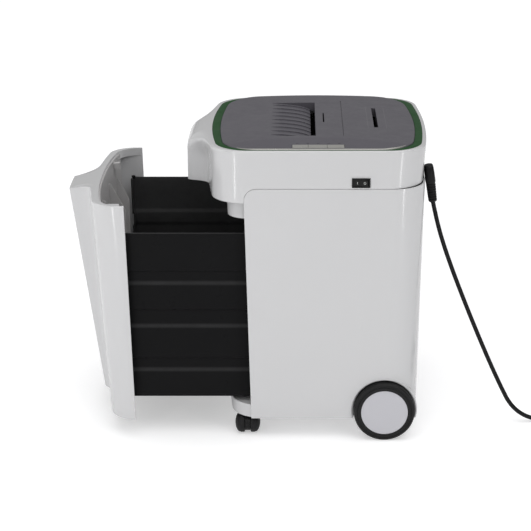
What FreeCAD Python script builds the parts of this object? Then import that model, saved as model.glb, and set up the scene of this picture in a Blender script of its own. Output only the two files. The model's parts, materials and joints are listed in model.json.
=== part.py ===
import FreeCAD, Part
import math
import os

# Paper shredder on castors with a pull-out bin, millimetres.
# Frame: +Z up, -Y towards the user (the bin pulls out that way), +X the side with the switch.
# The origin is on the floor, under the centre of the box around the machine with its bin open.

V = FreeCAD.Vector

# ---------------------------------------------------------------- driving dimensions
WALL = 3.0
GAP = 0.4                     # plain gap between pieces that move past each other
RUNNING_FIT = 0.05            # radial clearance of every shaft in its bearing

# cabinet
BODY_HALF_WIDTH = 181.0
CABINET_BOTTOM_Z = 37.0
SEAM_Z = 445.0
CABINET_FRONT_TOP_Y = 0.0
CABINET_FRONT_BOTTOM_Y = 9.0
CABINET_REAR_TOP_Y = 300.5
CABINET_REAR_BOTTOM_Y = 294.0
CABINET_FRONT_CORNER = 20.0   # rounded upper front corner of each side wall
CABINET_REAR_CORNER = 50.0

# head
HEAD_BOTTOM_Z = 421.0
RIM_Z = 509.0
HEAD_FRONT_Y = -64.0
HEAD_FRONT_CORNER = 45.0
HEAD_REAR_TOP_Y = 305.4
NOSE_DEPTH = 36.0
NOSE_HALF_WIDTH = 42.0
NOSE_EDGE_Z = 478.0           # the nose is upright to here, then rounds back to the rim
NOSE_TOP_RISE = 33.0
NOSE_STATIONS = (0.0, 0.14, 0.25, 0.31, 0.345, 0.38, 0.42, 0.47, 0.54, 0.62, 0.72, 0.83, 0.93)
RING_BOTTOM_Z = 501.0
RING_TOP_Z = 509.6
PANEL_CREST_Z = 515.5
PANEL_CREST_Y = 121.0
PANEL_CROWN_RADIUS = 2700.0
PANEL_THICKNESS = 3.5
BEVEL_START_X = 121.0
BEVEL_SLOPE = 7.7             # degrees, falling towards +X

# slots in the top panel
FEED_CENTRE_X = -6.5
FEED_WIDTH = 225.0
RAMP_START_Y = 43.0
FEED_WALL_Y = 118.0
FEED_SLOT_WIDTH = 8.0
RAMP_DEPTH = 12.0
CARD_SLOT = (-45.0, 17.0, 131.0, 133.4)
CD_SLOT = (-85.6, 45.8, 217.0, 224.0)
GROOVE = (-129.0, 104.0, 163.5, 164.5)
KEY_EDGES_Y = (79.0, 105.0, 136.0, 164.0)
KEY_CENTRE_X = 155.5
KEY_WIDTH = 12.0

# head internals
TRAY_FLOOR_Z = 390.0
TRAY_TOP_Z = 444.0
SWITCH_CENTRE = (191.0, 456.0)
SWITCH_BEZEL = (30.0, 16.0)
ROCKER_PIVOT_X = 180.0
ROCKER_TILT = 7.0
INTERLOCK_X = -110.0
INTERLOCK_Z = 402.0
INLET_X = (97.3, 122.7)
INLET_Z = (447.0, 465.6)

# cutter block: every axis runs along X
CUTTER_Z = 455.0
NIP_Y = 125.0
CUTTER_CENTRES = 37.0
CUTTER_RADIUS = 21.0
CUTTER_CORE_RADIUS = 8.0
DISC_PITCH = 10.0
DISC_THICKNESS = 4.4
DISC_COUNT = 23
JOURNAL_RADIUS = 6.0
CD_NIP_Y = 220.5
CD_Z = 462.0
CD_CENTRES = 26.0
CD_DISC_RADIUS = 15.0
CD_JOURNAL_RADIUS = 4.0
CD_CENTRE_X = -20.0
PLATE_GEAR_X = (-124.0, -121.5)
PLATE_FAR_X = (109.0, 111.5)

# gear train, module 1: the three planes lie outside the gear-side plate
GEAR_WIDTH = 8.0
GEAR_PLANES_X = (-135.0, -145.0, -155.0)
CUTTER_TEETH = 37
CD_TEETH = 26
IDLER_TEETH = 34
SMALL_TEETH = 12
INNER_LARGE_TEETH = 40
OUTER_LARGE_TEETH = 45
MOTOR_RADIUS = 26.0
PIN_RADIUS = 3.0
PRESSURE_ANGLE = math.radians(20.0)
ADDENDUM = 0.75
DEDENDUM = 1.0
FLANK_RELIEF = 0.15

# drawer: modelled shut, then pulled out by this much for the rest pose
DRAWER_OPEN = 196.5
BIN_BOTTOM_Z = 69.0
BIN_TOP_Z = 365.0
BIN_HALF_TOP = 165.0
BIN_HALF_BOTTOM = 160.0
BIN_FRONT_Y = -20.0
BIN_REAR_Y = 272.0
BIN_WALL = 3.0
PANEL_BOTTOM_Z = 35.0
PANEL_TOP_Z = 416.0
BULGE_TOP_Z = 404.0
BULGE_HALF_WIDTH = 36.0
PANEL_STATIONS = (0.0, 0.12, 0.2, 0.235, 0.265, 0.3, 0.35, 0.42, 0.5, 0.6, 0.7, 0.8, 0.93)
PANEL_SOLID_TOP = 14.0        # the panel's upper edge is solid for this depth
BIN_BANDS_Z = ((281.0, 297.0), (204.0, 228.0), (124.0, 140.0))
BIN_BAND_DEPTH = 1.3
BIN_WINDOW_HALF = 150.0       # the front wall is cut away between these, above the sill
BIN_WINDOW_SILL_Z = 240.0
GUSSETS_X = (-120.0, -50.0, 50.0, 120.0)
SCREWS_X = (-85.0, 85.0)
SCREWS_Z = (130.0, 218.0)
SCREW_RADIUS = 1.8

# running gear
REAR_WHEEL_RADIUS = 52.0
REAR_WHEEL_Y = 235.3
REAR_WHEEL_X = (170.0, 190.0)
TYRE_INNER_RADIUS = 39.5
AXLE_RADIUS = 4.0
CASTOR_STEM = (140.0, 2.0)
CASTOR_TRAIL = 10.0
CASTOR_RADIUS = 18.0
STEM_RADIUS = 5.0
BASE_TOP_Z = 60.0

# cord, the flexible lead from the connector to the mains plug
CORD_DIAMETER = 7.5
FLOOR_LIFT = 0.15
CORD_ROUTE = [
    (110.0, 314.0, 403.0),
    (110.0, 321.5, 369.0),
    (110.4, 333.0, 330.0),
    (111.0, 349.0, 285.0),
    (111.6, 366.5, 240.0),
    (112.0, 385.5, 193.0),
    (112.2, 405.5, 145.5),
    (112.2, 425.0, 101.0),
    (112.0, 443.0, 62.5),
    (111.8, 457.0, 35.0),
    (111.6, 477.0, 15.0),
    (111.6, 503.0, 4.2),
    (112.4, 533.0, 3.9),
    (112.0, 562.0, 3.9),
]
COIL_MEAN_RADIUS = 36.5
COIL_TURNS = 4.25
TAIL_ROUTE = [
    (71.0, 602.9, 3.9),
    (55.0, 604.0, 5.0),
    (40.0, 602.8, 8.5),
    (26.0, 600.0, 12.5),
]
PLUG_LENGTH = 42.0

# plan outlines: shares of the straight stretch, and the angles along each corner
STATIONS = (0.0, 0.12, 0.24, 0.36, 0.48, 0.60, 0.72, 0.84, 0.93)
CORNER_ANGLES = (0, 15, 30, 45, 60, 75, 90)

os.makedirs("parts", exist_ok=True)


# ---------------------------------------------------------------- helpers
def box(x0, x1, y0, y1, z0, z1):
    return Part.makeBox(x1 - x0, y1 - y0, z1 - z0, V(x0, y0, z0))


def cylinder(radius, start, direction, length):
    return Part.makeCylinder(radius, length, V(*start), V(*direction))


def x_cylinder(radius, x0, x1, y, z):
    return cylinder(radius, (x0, y, z), (1, 0, 0), x1 - x0)


def tube_x(outer, inner, x0, x1, y, z):
    return x_cylinder(outer, x0, x1, y, z).cut(x_cylinder(inner, x0 - 1, x1 + 1, y, z))


def prism_x(points, x0, x1):
    """A polygon of (y, z) points, extruded from x0 to x1."""
    corners = [V(x0, y, z) for y, z in points]
    face = Part.Face(Part.makePolygon(corners + [corners[0]]))
    return face.extrude(V(x1 - x0, 0, 0))


def prism_z(points, z0, z1):
    """A polygon of (x, y) points, extruded from z0 to z1."""
    corners = [V(x, y, z0) for x, y in points]
    face = Part.Face(Part.makePolygon(corners + [corners[0]]))
    return face.extrude(V(0, 0, z1 - z0))


def mirrored(shape):
    return shape.mirror(V(0, 0, 0), V(1, 0, 0))


def both_sides(shape):
    return [shape, mirrored(shape)]


def joined(pieces):
    result = pieces[0]
    for piece in pieces[1:]:
        result = result.fuse(piece)
    return result.removeSplitter()


def save(node, *solids, moved_y=0.0):
    shape = solids[0] if len(solids) == 1 else Part.makeCompound(list(solids))
    shape = shape.copy()
    shape.translate(V(0, moved_y, 0))
    shape.exportStep("parts/%s.step" % node)
    if not shape.isValid() or not shape.Solids:
        print("NOT VALID:", node)
    print("%-24s solids %3d  volume %9.1f" % (node, len(shape.Solids), shape.Volume))


def outline(half_width, front, rear, corner_front, corner_rear, stations=STATIONS):
    """Plan outline, symmetrical about X=0. front and rear give y from x."""
    right = []
    for station in stations:
        x = station * (half_width - corner_front)
        right.append((x, front(x)))
    for angle in CORNER_ANGLES:
        x = half_width - corner_front * (1 - math.sin(math.radians(angle)))
        right.append((x, front(x) + corner_front * (1 - math.cos(math.radians(angle)))))
    side_start = right[-1][1]
    side_end = rear(half_width) - corner_rear
    for step in (1, 2, 3, 4):
        right.append((half_width, side_start + (side_end - side_start) * step / 5))
    for angle in reversed(CORNER_ANGLES):
        x = half_width - corner_rear * (1 - math.sin(math.radians(angle)))
        right.append((x, rear(x) - corner_rear * (1 - math.cos(math.radians(angle)))))
    for station in reversed(STATIONS):
        x = station * (half_width - corner_rear)
        right.append((x, rear(x)))
    left = [(-x, y) for x, y in reversed(right[1:-1])]
    return right + left


def inset(points, distance):
    """Moves a closed counter-clockwise outline inwards."""
    moved = []
    count = len(points)
    for index, (x, y) in enumerate(points):
        before = points[index - 1]
        after = points[(index + 1) % count]
        dx = after[0] - before[0]
        dy = after[1] - before[1]
        length = math.hypot(dx, dy)
        moved.append((x - dy / length * distance, y + dx / length * distance))
    return moved


def wire(points, z):
    curve = Part.BSplineCurve()
    curve.interpolate([V(x, y, z) for x, y in points], PeriodicFlag=True)
    return Part.Wire(curve.toShape())


def loft(sections):
    """A solid through (outline, z) sections, straight from each to the next."""
    return Part.makeLoft([wire(points, z) for points, z in sections], True, True)


def slab(points, z0, z1):
    return Part.Face(wire(points, z0)).extrude(V(0, 0, z1 - z0))


def bowed(y, bow, half_width):
    """A nearly straight edge: y at the middle, y + bow at the corners."""
    return lambda x: y + bow * (x / half_width) ** 2


def blend(low, high, t):
    return low + (high - low) * t


# ---------------------------------------------------------------- cabinet
def cabinet_outline(z):
    t = (z - CABINET_BOTTOM_Z) / (SEAM_Z - CABINET_BOTTOM_Z)
    half_width = blend(BODY_HALF_WIDTH - 1.5, BODY_HALF_WIDTH, t)
    rear = bowed(blend(CABINET_REAR_BOTTOM_Y, CABINET_REAR_TOP_Y, t), -4, half_width)
    return outline(half_width, bowed(-60, 0, 1), rear, 20, CABINET_REAR_CORNER)


def front_opening(gap):
    """Everything in front of the side walls' front edges, grown by gap towards the rear."""
    slope = (CABINET_FRONT_BOTTOM_Y - CABINET_FRONT_TOP_Y) / (SEAM_Z - CABINET_BOTTOM_Z)
    radius = CABINET_FRONT_CORNER
    centre_y = CABINET_FRONT_TOP_Y + radius
    centre_z = SEAM_Z - radius
    points = [(-200.0, 0.0), (CABINET_FRONT_TOP_Y + slope * SEAM_Z + gap, 0.0)]
    for angle in range(180, 89, -15):
        turn = math.radians(angle)
        points.append((centre_y + (radius - gap) * math.cos(turn),
                       centre_z + (radius - gap) * math.sin(turn)))
    points += [(400.0, SEAM_Z - gap), (400.0, 600.0), (-200.0, 600.0)]
    return prism_x(points, -250, 250)


def cabinet_shell():
    bottom = cabinet_outline(CABINET_BOTTOM_Z)
    top = cabinet_outline(SEAM_Z)
    outer = loft([(bottom, CABINET_BOTTOM_Z), (top, SEAM_Z)])
    inner = loft([(inset(bottom, WALL), CABINET_BOTTOM_Z), (inset(top, WALL), SEAM_Z)])
    shell = outer.cut(inner).cut(front_opening(0.0))
    for side in (-1, 1):
        arch = x_cylinder(REAR_WHEEL_RADIUS + 4, min(side * 160, side * 200),
                          max(side * 160, side * 200), REAR_WHEEL_Y, REAR_WHEEL_RADIUS)
        shell = shell.cut(arch)
    return shell


def wheel_arch():
    radius = REAR_WHEEL_RADIUS + 4
    drum = x_cylinder(radius, 165.5, 176.5, REAR_WHEEL_Y, REAR_WHEEL_RADIUS)
    room = x_cylinder(radius - 2, 167.5, 180, REAR_WHEEL_Y, REAR_WHEEL_RADIUS)
    hole = x_cylinder(AXLE_RADIUS + 0.5, 160, 170, REAR_WHEEL_Y, REAR_WHEEL_RADIUS)
    below = box(150, 200, REAR_WHEEL_Y - 80, REAR_WHEEL_Y + 80, -10, CABINET_BOTTOM_Z)
    return drum.cut(room).cut(hole).cut(below)


def base_plate():
    half_width = BODY_HALF_WIDTH - WALL - 2.2
    plan = outline(half_width, bowed(-32, 9, 146), bowed(289.5, -4, half_width), 42, 46)
    tray = slab(plan, CABINET_BOTTOM_Z, BASE_TOP_Z)
    tray = tray.cut(slab(inset(plan, WALL), CABINET_BOTTOM_Z - 1, BASE_TOP_Z - WALL))
    additions = [tray]
    for rib_x in (-90, -30, 30, 90):
        additions.append(box(rib_x - 1.2, rib_x + 1.2, -25, 284, 44, BASE_TOP_Z - WALL))
    for rib_y in (60, 180):
        additions.append(box(-173, 173, rib_y - 1.2, rib_y + 1.2, 44, BASE_TOP_Z - WALL))
    for side in (-1, 1):
        additions.append(cylinder(9, (side * CASTOR_STEM[0], CASTOR_STEM[1], 40), (0, 0, 1), 18))
        additions.append(box(side * 145 - 5, side * 145 + 5, REAR_WHEEL_Y - 10, REAR_WHEEL_Y + 10,
                             40, BASE_TOP_Z - WALL))
    plate = joined(additions)
    for side in (-1, 1):
        stem_x = side * CASTOR_STEM[0]
        plate = plate.cut(cylinder(STEM_RADIUS + RUNNING_FIT, (stem_x, CASTOR_STEM[1], 36),
                                   (0, 0, 1), 20.5))
        plate = plate.cut(x_cylinder(REAR_WHEEL_RADIUS + 4.5, min(side * 165.2, side * 200),
                                     max(side * 165.2, side * 200), REAR_WHEEL_Y,
                                     REAR_WHEEL_RADIUS))
        plate = plate.cut(box(side * 130 - 7, side * 130 + 7, -18, -13, 50, 70))
    return plate.cut(x_cylinder(AXLE_RADIUS, -200, 200, REAR_WHEEL_Y, REAR_WHEEL_RADIUS))


def running_gear():
    save("rear_axle", x_cylinder(AXLE_RADIUS, -186.5, 186.5, REAR_WHEEL_Y, REAR_WHEEL_RADIUS))
    clip = tube_x(7.5, AXLE_RADIUS, 167.9, 169.2, REAR_WHEEL_Y, REAR_WHEEL_RADIUS)
    save("axle_clips", *both_sides(clip))
    save("wheel_arches", *both_sides(wheel_arch()))

    inner_x, outer_x = REAR_WHEEL_X
    tyre = tube_x(REAR_WHEEL_RADIUS, TYRE_INNER_RADIUS, inner_x, outer_x,
                  REAR_WHEEL_Y, REAR_WHEEL_RADIUS)
    round_edges = [edge for edge in tyre.Edges
                   if hasattr(edge.Curve, "Radius") and edge.Curve.Radius > 50]
    tyre = tyre.makeFillet(4.0, round_edges)
    face = x_cylinder(TYRE_INNER_RADIUS, outer_x - 3, outer_x - 0.4, REAR_WHEEL_Y,
                      REAR_WHEEL_RADIUS)
    rim = tube_x(TYRE_INNER_RADIUS, TYRE_INNER_RADIUS - 3, inner_x, outer_x - 2,
                 REAR_WHEEL_Y, REAR_WHEEL_RADIUS)
    boss = x_cylinder(9, inner_x, outer_x - 2, REAR_WHEEL_Y, REAR_WHEEL_RADIUS)
    spokes = [box(inner_x + 2, outer_x - 2, REAR_WHEEL_Y - 37.5, REAR_WHEEL_Y + 37.5,
                  REAR_WHEEL_RADIUS - 1.2, REAR_WHEEL_RADIUS + 1.2),
              box(inner_x + 2, outer_x - 2, REAR_WHEEL_Y - 1.2, REAR_WHEEL_Y + 1.2,
                  REAR_WHEEL_RADIUS - 37.5, REAR_WHEEL_RADIUS + 37.5)]
    hub = joined([face, rim, boss] + spokes)
    hub = hub.cut(x_cylinder(AXLE_RADIUS + RUNNING_FIT, inner_x - 1, 187.0, REAR_WHEEL_Y,
                             REAR_WHEEL_RADIUS))
    for name, piece in (("tyre", tyre), ("hub", hub)):
        save(name + "_right", piece)
        save(name + "_left", mirrored(piece))

    stem_x, stem_y = CASTOR_STEM
    wheel_x = stem_x + CASTOR_TRAIL
    pin_radius = 2.5
    body = cylinder(15, (wheel_x, stem_y - 4.5, CASTOR_RADIUS), (0, 1, 0), 9)
    wheel_top_z = 2 * CASTOR_RADIUS
    neck = box(stem_x - 6, wheel_x, stem_y - 4.5, stem_y + 4.5, 12, wheel_top_z + 0.6)
    collar = cylinder(7.5, (stem_x, stem_y, wheel_top_z + 0.5), (0, 0, 1), 2.4)
    stem = cylinder(STEM_RADIUS, (stem_x, stem_y, 30), (0, 0, 1), 26)
    fork = joined([body, neck, collar, stem])
    fork = fork.cut(cylinder(pin_radius + RUNNING_FIT, (wheel_x, stem_y - 10, CASTOR_RADIUS),
                             (0, 1, 0), 20))
    wheels = []
    for start in (stem_y - 21.5, stem_y + 5.0):
        wheel = cylinder(CASTOR_RADIUS, (wheel_x, start, CASTOR_RADIUS), (0, 1, 0), 16.5)
        wheel = wheel.makeFillet(2.5, [edge for edge in wheel.Edges if len(edge.Vertexes) == 1])
        wheels.append(wheel.cut(cylinder(pin_radius, (wheel_x, start - 1, CASTOR_RADIUS),
                                         (0, 1, 0), 19)))
    pin = cylinder(pin_radius, (wheel_x, stem_y - 20, CASTOR_RADIUS), (0, 1, 0), 40)
    save("castor_fork_right", fork)
    save("castor_fork_left", mirrored(fork))
    save("castor_wheels_right", *wheels, pin)
    save("castor_wheels_left", *[mirrored(piece) for piece in wheels + [pin]])


# ---------------------------------------------------------------- head
def nose(x, z):
    """How far the nose stands out of the head's front at height z."""
    rise = max(0.0, z - NOSE_EDGE_Z) / NOSE_TOP_RISE
    depth = NOSE_DEPTH * math.sqrt(max(0.0, 1 - rise * rise))
    widening = min(1.0, max(0.0, (z - 462) / 43))
    decay = 9 + 40 * widening ** 2
    outside = max(0.0, abs(x) - NOSE_HALF_WIDTH)
    return depth * math.exp(-(outside / decay) ** 1.3)


def head_outline(z):
    t = (z - SEAM_Z) / (RIM_Z - SEAM_Z)
    plain_front = bowed(HEAD_FRONT_Y, 10, 136)
    rear = bowed(blend(CABINET_REAR_TOP_Y + 0.5, HEAD_REAR_TOP_Y, t), -7, 136)
    return outline(BODY_HALF_WIDTH, lambda x: plain_front(x) - nose(x, z), rear,
                   HEAD_FRONT_CORNER, CABINET_REAR_CORNER, NOSE_STATIONS)


def ring_outline(shrink=0.0):
    return outline(177 - shrink, bowed(-57.5 + shrink, 11, 136), bowed(299 - shrink, -8, 136),
                   46, 48)


def panel_outline(shrink=0.0):
    return outline(173.6 - shrink, bowed(-43.5 + shrink, 7.5, 124),
                   bowed(286.8 - shrink, -10, 137), 50, 50)


def head_housing():
    levels = (HEAD_BOTTOM_Z, 435, 450, 465, 477, 485, 492, 498, 503, RIM_Z)
    outer = loft([(head_outline(z), z) for z in levels])
    inner_levels = (HEAD_BOTTOM_Z - 1, 435, 450, 465, 477, 485, 492, 498, RING_BOTTOM_Z)
    inner = loft([(inset(head_outline(z), WALL), z) for z in inner_levels])
    shell = outer.cut(inner).cut(slab(ring_outline(), RING_BOTTOM_Z - 1, RIM_Z + 5))
    cabinet_room = box(-250, 250, -200, 400, 380, 600).cut(front_opening(-GAP))
    shell = shell.cut(cabinet_room)
    y, z = SWITCH_CENTRE
    length, height = SWITCH_BEZEL
    switch_hole = box(170, 190, y - length / 2 + 1.5, y + length / 2 - 1.5,
                      z - height / 2 + 1.4, z + height / 2 - 1.4)
    bezel_seat = box(BODY_HALF_WIDTH + 0.05, 190, y - length / 2 - 0.5, y + length / 2 + 0.5,
                     z - height / 2 - 0.5, z + height / 2 + 0.5)
    inlet_hole = box(INLET_X[0] - GAP, INLET_X[1] + GAP, 280, 320, INLET_Z[0] - GAP, INLET_Z[1] + GAP)
    inlet_seat = box(INLET_X[0] - 3, INLET_X[1] + 3, 280, 293.4, INLET_Z[0] - 1, INLET_Z[1] + 2)
    return shell.cut(switch_hole).cut(bezel_seat).cut(inlet_hole).cut(inlet_seat)


def head_tray():
    plan = outline(163, bowed(-33, 4, 120), bowed(286, -3, 120), 28, 30)
    below = TRAY_FLOOR_Z - 1
    above = TRAY_FLOOR_Z + WALL + 1
    tray = slab(plan, TRAY_FLOOR_Z, TRAY_TOP_Z)
    tray = tray.cut(slab(inset(plan, WALL), TRAY_FLOOR_Z + WALL, TRAY_TOP_Z + 1))
    half_feed = FEED_WIDTH / 2 + 2
    tray = tray.cut(box(FEED_CENTRE_X - half_feed, FEED_CENTRE_X + half_feed, 88, 162, below, above))
    tray = tray.cut(box(CD_SLOT[0] - 6.4, CD_SLOT[1] + 6.2, 196, 245, below, above))
    return tray.cut(cylinder(3.5, (INTERLOCK_X, -50, INTERLOCK_Z), (0, 1, 0), 40))


def crown(drop):
    """The volume under the panel's crowned and bevelled top, lowered by drop."""
    radius = PANEL_CROWN_RADIUS - drop
    barrel = x_cylinder(radius, -200, 200, PANEL_CREST_Y, PANEL_CREST_Z - PANEL_CROWN_RADIUS)
    return barrel.cut(on_bevel(box(-100, 200, -400, 400, -drop, 120), 0.0))


def on_bevel(shape, lift):
    """Places a shape drawn on a flat plane onto the bevel, its origin on the bevel's top edge."""
    placed = shape.copy()
    placed.rotate(V(0, 0, 0), V(0, 1, 0), BEVEL_SLOPE)
    placed.translate(V(BEVEL_START_X, 0, PANEL_CREST_Z - 0.6 + lift))
    return placed


def ramp_profile():
    """The feed ramp from the side: it falls gently, then curls down into the slot."""
    points = [(RAMP_START_Y - 6, PANEL_CREST_Z + 4), (RAMP_START_Y, PANEL_CREST_Z - 1)]
    span = FEED_WALL_Y - FEED_SLOT_WIDTH - RAMP_START_Y
    for step in range(1, 11):
        t = step / 10
        points.append((RAMP_START_Y + span * t,
                       PANEL_CREST_Z - 1.5 - RAMP_DEPTH * (0.55 * t + 0.45 * t ** 5)))
    points.append((FEED_WALL_Y - FEED_SLOT_WIDTH, 480.0))
    points.append((FEED_WALL_Y, 480.0))
    points.append((FEED_WALL_Y, PANEL_CREST_Z + 4))
    return points


def top_panel():
    left = FEED_CENTRE_X - FEED_WIDTH / 2
    right = FEED_CENTRE_X + FEED_WIDTH / 2
    plan_block = slab(panel_outline(), RING_BOTTOM_Z - 3, 530)
    skin = plan_block.common(crown(0.0))
    floor = [(y, z - WALL) for y, z in ramp_profile()[1:-3]]
    pan_points = [(RAMP_START_Y - 4, 530), (RAMP_START_Y - 4, floor[0][1])] + floor[:-1]
    pan_points += [(FEED_WALL_Y - FEED_SLOT_WIDTH - WALL, 488), (FEED_WALL_Y + WALL, 488),
                   (FEED_WALL_Y + WALL, 530)]
    pan = prism_x(pan_points, left - WALL, right + WALL).common(crown(0.0))
    hollow = slab(panel_outline(WALL), 480, 530).common(crown(PANEL_THICKNESS))
    panel = skin.cut(hollow)
    for slot in (CARD_SLOT, CD_SLOT):
        panel = panel.cut(box(*slot, 470, 530))
    panel = panel.cut(box(*GROOVE, PANEL_CREST_Z - 1.9, 530))
    key_room = on_bevel(box(KEY_CENTRE_X - BEVEL_START_X - KEY_WIDTH / 2 - GAP,
                            KEY_CENTRE_X - BEVEL_START_X + KEY_WIDTH / 2 + GAP,
                            KEY_EDGES_Y[0] - GAP, KEY_EDGES_Y[-1] + GAP, -12, 5), 0.0)
    panel = panel.cut(key_room)
    panel = panel.fuse(pan).cut(prism_x(ramp_profile(), left, right))
    ribs = []
    rib_count = 9
    rib_pitch = FEED_WIDTH / rib_count
    profile = ramp_profile()[2:-3]
    rib_points = [(y, z + 2.2) for y, z in profile] + [(y, z - 1) for y, z in reversed(profile)]
    under_top = crown(0.8)
    for index in range(rib_count):
        rib_x = left + rib_pitch * (index + 0.5)
        ribs.append(prism_x(rib_points, rib_x - 1.1, rib_x + 1.1).common(under_top))
    return joined([panel] + ribs)


def control_key(index):
    y0 = KEY_EDGES_Y[index] + GAP / 2
    y1 = KEY_EDGES_Y[index + 1] - GAP / 2
    x0 = KEY_CENTRE_X - BEVEL_START_X - KEY_WIDTH / 2
    key = box(x0, x0 + KEY_WIDTH, y0, y1, -5.2, 0.8)
    top_edges = [edge for edge in key.Edges if edge.BoundBox.ZMin > 0.7]
    return on_bevel(key.makeFillet(0.6, top_edges), 0.0)


def head_parts():
    save("head_housing", head_housing())
    save("head_tray", head_tray())
    save("trim_ring", slab(ring_outline(GAP / 2), RING_BOTTOM_Z, RING_TOP_Z)
         .cut(slab(panel_outline(-GAP / 2), RING_BOTTOM_Z - 1, RING_TOP_Z + 1)))
    save("top_panel", top_panel())
    for index, name in enumerate(("key_front", "key_middle", "key_rear")):
        save(name, control_key(index))

    board = box(118, 167, 70, 172, 497, 498.6)
    parts = [board]
    for index in range(3):
        middle = (KEY_EDGES_Y[index] + KEY_EDGES_Y[index + 1]) / 2
        parts.append(box(KEY_CENTRE_X - 3, KEY_CENTRE_X + 3, middle - 3, middle + 3, 498.6, 502.2))
    parts.append(box(124, 138, 80, 94, 494.0, 497))
    parts.append(cylinder(5, (130, 150, 484), (0, 0, 1), 13))
    save("control_board", joined(parts))

    save_switch()
    save("appliance_inlet", joined([box(*INLET_X, 281, 297, *INLET_Z),
                                    box(INLET_X[0] - 2.3, INLET_X[1] + 2.3, 290, 293,
                                        INLET_Z[0], INLET_Z[1] + 1.4)]))

    housing = box(INTERLOCK_X - 10, INTERLOCK_X + 10, -24, -4, INTERLOCK_Z - 8, INTERLOCK_Z + 8)
    plunger_room = cylinder(3.0 + RUNNING_FIT, (INTERLOCK_X, -30, INTERLOCK_Z), (0, 1, 0), 22)
    save("interlock_switch", housing.cut(plunger_room))
    save("interlock_plunger", cylinder(3.0, (INTERLOCK_X, -34, INTERLOCK_Z), (0, 1, 0), 22))


def save_switch():
    """The power switch: a bezelled case, and a rocker that turns on a pin along Z."""
    y, z = SWITCH_CENTRE
    length, height = SWITCH_BEZEL
    pin = 1.5
    bezel = box(BODY_HALF_WIDTH + 0.1, BODY_HALF_WIDTH + 1.6, y - length / 2, y + length / 2,
                z - height / 2, z + height / 2)
    case = box(160, BODY_HALF_WIDTH + 0.5, y - 13.2, y + 13.2, z - 6.4, z + 6.4)
    room = box(172, 190, y - 12.2, y + 12.2, z - 5.7, z + 5.7)
    pin_hole = cylinder(pin + RUNNING_FIT, (ROCKER_PIVOT_X, y, z - 6.5), (0, 0, 1), 13)
    save("switch_body", joined([bezel, case]).cut(room).cut(pin_hole))
    back = ROCKER_PIVOT_X - 3
    raised = ROCKER_PIVOT_X + 3.4
    rocker = prism_z([(back, y - 11.5), (raised, y - 11.5), (ROCKER_PIVOT_X + 2.0, y),
                      (raised, y + 11.5), (back, y + 11.5)], z - 5.2, z + 5.2)
    rocker = rocker.fuse(cylinder(pin, (ROCKER_PIVOT_X, y, z - 6.2), (0, 0, 1), 12.4))
    rocker.rotate(V(ROCKER_PIVOT_X, y, z), V(0, 0, 1), -ROCKER_TILT)
    save("switch_rocker", rocker)


# ---------------------------------------------------------------- gears
def involute(radius, base_radius):
    if radius <= base_radius:
        return 0.0
    angle = math.acos(base_radius / radius)
    return math.tan(angle) - angle


def gear(teeth, phase, width, bore):
    """A module 1 spur gear about Z, with a tooth centred at the angle phase."""
    pitch_radius = teeth / 2
    base_radius = pitch_radius * math.cos(PRESSURE_ANGLE)
    root = pitch_radius - DEDENDUM
    tip = pitch_radius + ADDENDUM
    half_angle = (math.pi / 4 - FLANK_RELIEF) / pitch_radius
    half_angle += math.tan(PRESSURE_ANGLE) - PRESSURE_ANGLE
    radii = (root, max(base_radius, root + 0.1), pitch_radius, tip)
    flank = [(radius, half_angle - involute(radius, base_radius)) for radius in radii]
    points = []
    for tooth in range(teeth):
        centre = phase + tooth * 2 * math.pi / teeth
        for radius, angle in flank:
            points.append(V(radius * math.cos(centre - angle), radius * math.sin(centre - angle)))
        for radius, angle in reversed(flank):
            points.append(V(radius * math.cos(centre + angle), radius * math.sin(centre + angle)))
    blank = Part.Face(Part.makePolygon(points + [points[0]])).extrude(V(0, 0, width))
    return blank.cut(Part.makeCylinder(bore, width + 2, V(0, 0, -1)))


def about_x(shape, x, centre):
    """Turns a shape drawn about Z so that its axis is X, and moves it to (x, y, z)."""
    placed = shape.copy()
    placed.Placement = FreeCAD.Placement(V(x, centre[0], centre[1]),
                                         FreeCAD.Rotation(V(1, 1, 1), 120))
    return placed


def partner(centre, teeth, other_teeth, direction):
    distance = (teeth + other_teeth) / 2
    return (centre[0] + distance * math.cos(direction), centre[1] + distance * math.sin(direction))


def mesh_phase(phase, teeth, other_teeth, direction):
    """The phase that puts a gap of the other gear at the tooth that faces it."""
    return direction + math.pi + (math.pi - teeth * (phase - direction)) / other_teeth


def direction_between(start, end):
    return math.atan2(end[1] - start[1], end[0] - start[0])


def third_corner(start, end, start_distance, end_distance):
    """The lower point at the two given distances from two centres."""
    span = math.hypot(end[0] - start[0], end[1] - start[1])
    along = (start_distance ** 2 - end_distance ** 2 + span ** 2) / (2 * span)
    aside = math.sqrt(start_distance ** 2 - along ** 2)
    ux = (end[0] - start[0]) / span
    uy = (end[1] - start[1]) / span
    return (start[0] + ux * along + uy * aside, start[1] + uy * along - ux * aside)


CUTTER_FRONT = (NIP_Y - CUTTER_CENTRES / 2, CUTTER_Z)
CUTTER_REAR = (NIP_Y + CUTTER_CENTRES / 2, CUTTER_Z)
CD_FRONT = (CD_NIP_Y - CD_CENTRES / 2, CD_Z)
CD_REAR = (CD_NIP_Y + CD_CENTRES / 2, CD_Z)
IDLER = third_corner(CUTTER_REAR, CD_FRONT, (CUTTER_TEETH + IDLER_TEETH) / 2,
                     (IDLER_TEETH + CD_TEETH) / 2)
INNER_DIRECTION = math.radians(210)
OUTER_DIRECTION = math.radians(170)
MOTOR_DIRECTION = math.radians(175)
INNER = partner(CUTTER_FRONT, CUTTER_TEETH, SMALL_TEETH, INNER_DIRECTION)
OUTER = partner(INNER, INNER_LARGE_TEETH, SMALL_TEETH, OUTER_DIRECTION)
MOTOR = partner(OUTER, OUTER_LARGE_TEETH, SMALL_TEETH, MOTOR_DIRECTION)
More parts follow.
